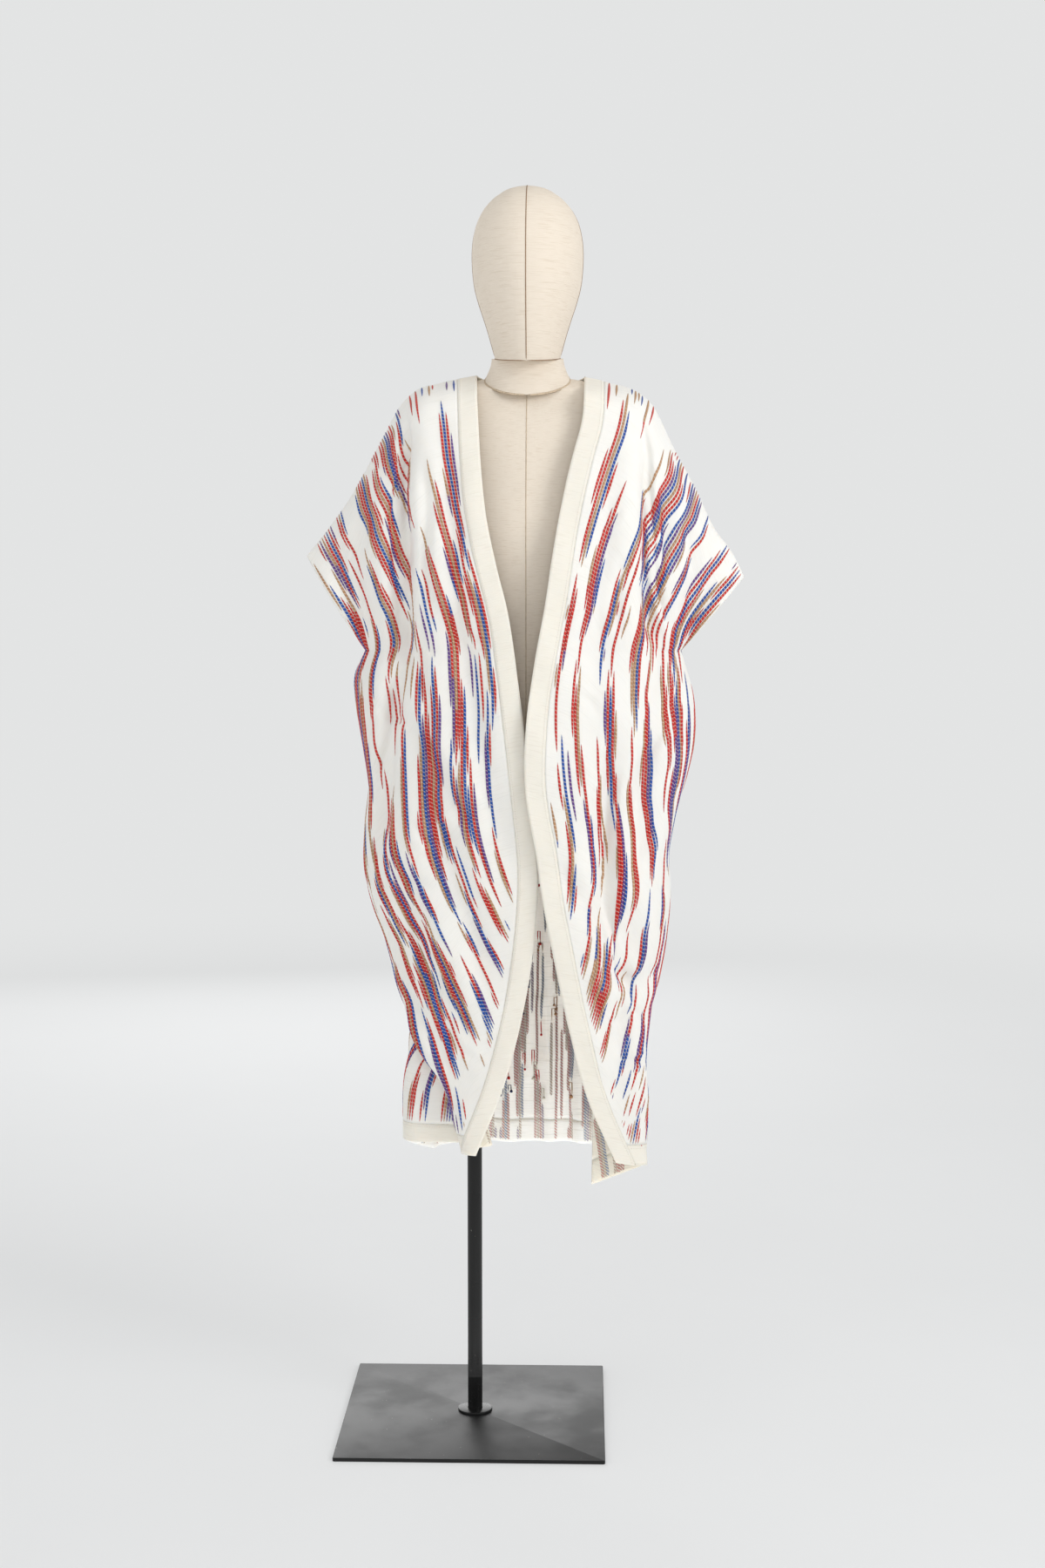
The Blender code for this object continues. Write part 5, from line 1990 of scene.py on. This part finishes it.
    def build(self) -> None:
        """Builds the covered form and its seams."""
        neck_height, neck_slope = NECK_PLANE
        chin_height, chin_slope = CHIN_PLANE
        seat = PART_GAP * math.hypot(1.0, neck_slope)
        torso = self.part("dress_form_torso", TORSO_RINGS, 132, [(neck_height, neck_slope, False)], 0.145)
        neck = self.part("dress_form_neck", NECK_RINGS, 40, [(neck_height + seat, neck_slope, True),
                         (chin_height - PART_GAP, chin_slope, False)], 0.05)
        head = self.part("dress_form_head", HEAD_RINGS, 84, [(chin_height, chin_slope, True)], 0.072)
        for item, node in ((torso, "form_torso"), (neck, "form_neck"), (head, "form_head")):
            settle_piece(item, "form_linen", node)
        front, back = -math.pi / 2, math.pi / 2
        for angle in (front, back, 0.0, math.pi):
            low = self.plane_height(HEAD_RINGS, CHIN_PLANE, np.array([angle]))[0]
            z = self.heights(HEAD_RINGS, 90)
            z = z[z > low]
            self.seam(HEAD_RINGS, z, np.full(len(z), angle), Yarn.BROWN)
            top = self.plane_height(TORSO_RINGS, NECK_PLANE, np.array([angle]))[0]
            z = self.heights(TORSO_RINGS, 120)
            z = z[z < top]
            self.seam(TORSO_RINGS, z, np.full(len(z), angle), Yarn.SAND)
        around = np.linspace(0, 2 * math.pi, 97) + front
        self.seam(HEAD_RINGS, self.plane_height(HEAD_RINGS, CHIN_PLANE, around), around, Yarn.BROWN)
        self.seam(NECK_RINGS, self.plane_height(NECK_RINGS, NECK_PLANE, around) + PART_GAP, around, Yarn.SAND, 0.0030)
        settle_piece(self.seams.finish("dress_form_seams", self.seam_thread), "form_linen")


@dataclass
class Stand:
    """Square plate, flange ring and pole of black coated steel."""

    plate_finish: bpy.types.Material
    bar_finish: bpy.types.Material

    def build(self) -> None:
        """Builds the stand's pieces."""
        foot = PLATE_THICKNESS + PART_GAP
        shell = bmesh.new()
        bmesh.ops.create_cube(shell, size=1.0)
        bmesh.ops.scale(shell, vec=(PLATE_SIZE, PLATE_SIZE, PLATE_THICKNESS), verts=shell.verts)
        bmesh.ops.translate(shell, vec=(0, 0, PLATE_THICKNESS / 2), verts=shell.verts)
        for upright, size, steps in ((True, PLATE_CORNER, 4), (False, PLATE_RIM, 2)):
            rims = [edge for edge in shell.edges
                    if (abs(edge.verts[0].co.z - edge.verts[1].co.z) > PLATE_THICKNESS / 5) == upright]
            bmesh.ops.bevel(shell, geom=rims, offset=size, offset_type="OFFSET", affect="EDGES", segments=steps,
                            profile=0.5, material=-1)
        self.finish("stand_plate", shell, self.plate_finish, "stand_base")
        inner = POLE_RADIUS + PART_GAP
        profile = [(inner, 0.0), (FLANGE_RADIUS, 0.0), (FLANGE_RADIUS, FLANGE_HEIGHT - FLANGE_RIM),
                   (FLANGE_RADIUS - FLANGE_RIM * 0.3, FLANGE_HEIGHT - FLANGE_RIM * 0.3),
                   (FLANGE_RADIUS - FLANGE_RIM, FLANGE_HEIGHT), (inner, FLANGE_HEIGHT)]
        self.finish("stand_collar", self.turned(profile, foot), self.bar_finish, "stand_flange")
        top = TORSO_BOTTOM - PART_GAP - foot
        profile = [(0.0, 0.0), (POLE_RADIUS, 0.0), (POLE_RADIUS, top - POLE_BEAD), (POLE_RADIUS - POLE_BEAD, top),
                   (0.0, top)]
        self.finish("stand_tube", self.turned(profile, foot), self.bar_finish, "stand_pole")

    def turned(self, profile: Sequence[tuple[float, float]], foot: float) -> bmesh.types.BMesh:
        """Profile of radius and height turned about the pole's axis.

        Args:
            profile: Corners of radius and height.
            foot: Height that it starts at.

        Returns:
            The closed mesh.
        """
        shell = bmesh.new()
        corners = [shell.verts.new((radius, 0.0, foot + height)) for radius, height in profile]
        edges = [shell.edges.new(pair) for pair in zip(corners, corners[1:])]
        if profile[0][0] > 0:
            edges.append(shell.edges.new((corners[-1], corners[0])))
        bmesh.ops.spin(shell, geom=corners + edges, cent=(0, 0, 0), axis=(0, 0, 1), angle=2 * math.pi, steps=64,
                       use_merge=True)
        bmesh.ops.remove_doubles(shell, verts=shell.verts[:], dist=1e-6)
        bmesh.ops.recalc_face_normals(shell, faces=shell.faces[:])
        return shell

    def finish(self, name: str, shell: bmesh.types.BMesh, material: bpy.types.Material, node: str) -> None:
        """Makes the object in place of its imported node."""
        item = new_object(name, shell, material)
        item.data.set_sharp_from_angle(angle=math.radians(35))
        settle_piece(item, "black_steel", node)


class SoftLight(NamedTuple):
    """One area light."""

    name: str
    place: tuple[float, float, float]
    target: tuple[float, float, float]
    size: float
    power: float
    tint: tuple[float, float, float]


@dataclass
class Studio:
    """Plain pale floor, soft lights and the camera at the photograph's angle."""

    floor_colour: Colour
    air_colour: Colour

    def build(self) -> None:
        """Sets the stage."""
        shell = bmesh.new()
        bmesh.ops.create_circle(shell, cap_ends=True, segments=96, radius=FLOOR_RADIUS)
        floor = new_object("studio_floor", shell, self.floor())
        world = bpy.data.worlds.new("studio_air")
        world.use_nodes = True
        tree = world.node_tree
        air = tree.nodes["Background"]
        height = join_node(tree, "ShaderNodeSeparateXYZ", {0: join_node(tree, "ShaderNodeTexCoord", {}).outputs[0]})
        share = ramp(tree, height.outputs[2], 0.25, 0.75, 0.0, 1.0)
        dim = tuple(c * ZENITH_SHARE for c in self.air_colour[:3]) + (1.0,)
        tree.links.new(blend(tree, share, self.air_colour, dim), air.inputs["Color"])
        air.inputs["Strength"].default_value = AIR_STRENGTH
        bpy.context.scene.world = world
        bpy.context.scene.view_settings.view_transform = "Standard"
        for light in LIGHTS:
            self.light(light)
        self.camera()

    def floor(self) -> bpy.types.Material:
        """Floor finish that turns into the colour of the air far away, so that no horizon shows."""
        material, tree, shader = new_material("pale_floor", 0.6)
        place_of = join_node(tree, "ShaderNodeTexCoord", {}).outputs["Object"]
        cloud = ramp(tree, noise(tree, place_of, (1.3, 1.3, 1.3), 4.0), 0.3, 0.7, 0.0, 0.5)
        dull = tuple(c * 0.95 for c in self.floor_colour[:3]) + (1.0,)
        far = join_node(tree, "ShaderNodeVectorMath", {0: place_of}, operation="LENGTH").outputs["Value"]
        share = ramp(tree, far, *FLOOR_FADE, FLOOR_GLOW, 1.0)
        black = (0.0, 0.0, 0.0, 1.0)
        near = blend(tree, cloud, self.floor_colour, dull)
        tree.links.new(blend(tree, share, near, black), shader.inputs["Base Color"])
        tree.links.new(blend(tree, share, black, self.air_colour), shader.inputs["Emission Color"])
        shader.inputs["Emission Strength"].default_value = AIR_STRENGTH
        shader.inputs["Specular IOR Level"].default_value = 0.0
        return material

    def light(self, light: SoftLight) -> None:
        """Large soft area light that faces its target.

        Args:
            light: Place, aim, size, power and tint.
        """
        data = bpy.data.lights.new(light.name, "AREA")
        data.energy = light.power
        data.size = light.size
        data.color = light.tint
        item = bpy.data.objects.new(light.name, data)
        item.location = light.place
        aim = Vector(light.target) - Vector(light.place)
        item.rotation_mode = "QUATERNION"
        item.rotation_quaternion = aim.to_track_quat("-Z", "Y")
        item.visible_camera = False
        item.visible_glossy = light.size > 1.0
        bpy.context.scene.collection.objects.link(item)

    def camera(self) -> None:
        """Camera solved from the square plate in the photograph."""
        data = bpy.data.cameras.new("photo_camera")
        data.lens = 50.0
        data.sensor_fit = "VERTICAL"
        data.sensor_height = 36.0
        data.sensor_width = 24.0
        item = bpy.data.objects.new("photo_camera", data)
        item.location = CAMERA_PLACE
        item.rotation_euler = (math.pi / 2 - CAMERA_PITCH, 0.0, CAMERA_YAW)
        bpy.context.scene.collection.objects.link(item)
        bpy.context.scene.camera = item


LIGHTS = (
    SoftLight("window_right", (2.7, -1.9, 2.3), (0.07, 0.0, 0.9), 1.5, 50.0, (1.0, 0.998, 0.990)),
    SoftLight("bounce_left", (-2.8, -1.8, 1.4), (0.07, 0.0, 0.9), 2.4, 13.0, (1.0, 0.995, 0.985)),
    SoftLight("front_fill", (0.1, -3.2, 0.7), (0.09, 0.1, 0.5), 0.9, 9.0, (1.0, 1.0, 1.0)),
    SoftLight("ceiling", (0.0, -1.0, 3.3), (0.07, 0.0, 0.6), 2.4, 15.0, (1.0, 1.0, 1.0)),
    SoftLight("wall_behind", (-0.6, 3.2, 1.7), (0.07, 0.0, 0.8), 2.6, 42.0, (1.0, 1.0, 1.0)),
    SoftLight("floor_bounce", (0.09, -0.03, 0.06), (0.08, 0.10, 0.6), 0.30, 1.1, (1.0, 1.0, 1.0)),
)


def main() -> None:
    """Builds the pieces in order."""
    logging.basicConfig(level=logging.INFO, format="%(name)s %(message)s")
    weave = weave_group()
    cloth = WovenFinish("slub_cotton", paint(239, 237, 232), paint(214, 210, 202), 0.0009, 0.045, 0.0020,
                        0.28, 0.35, 0.5, 0.0015).build(weave)
    wrong_side = WovenFinish("slub_cotton_wrong_side", paint(242, 237, 226), paint(196, 189, 176), 0.0009, 0.060,
                             0.0026, 0.50, 0.4, 1.0, 0.007).build(weave)
    front_wrong_side = WovenFinish("slub_cotton_front_wrong_side", paint(242, 236, 222), paint(196, 189, 176), 0.0009,
                                   0.060, 0.0026, 0.5, 0.4, 0.5, 0.0015).build(weave)
    band = WovenFinish("band_cotton", paint(238, 234, 224), paint(216, 209, 195), 0.0008, 0.030, 0.0018,
                       0.35, 0.4, 0.6).build(weave)
    linen = WovenFinish("form_linen", paint(230, 219, 204), paint(202, 182, 158), 0.0011, 0.026, 0.0012,
                        0.42, 0.6).build(weave)
    garment = Garment(
        cloth, wrong_side, front_wrong_side, band,
        YarnFinish("thick_yarn", 0.66, 0.15, paint(236, 224, 208), pitch=0.0051).build(),
        YarnFinish("yarn_wrong_side", 0.9, 0.50, paint(238, 232, 222), pitch=0.0042, slant=0.9, shade=0.20,
                   cover=0.72).build(),
        YarnFinish("yarn_tails", 0.1, 0.1, paint(226, 214, 200)).build(),
        YarnFinish("sewing_thread", 0.0, 0.1, paint(232, 226, 210)).build())
    garment.build()
    DressForm(linen, YarnFinish("seam_cord", 0.25, 0.1, paint(214, 198, 172)).build()).build()
    Stand(SteelFinish("plate_coat", 0.36, 0.52, 15.0).build(),
          SteelFinish("tube_coat", 0.26, 0.36, 14.0).build()).build()
    Studio(paint(244, 245, 246), paint(241, 242, 242)).build()


if __name__ == "__main__":
    main()
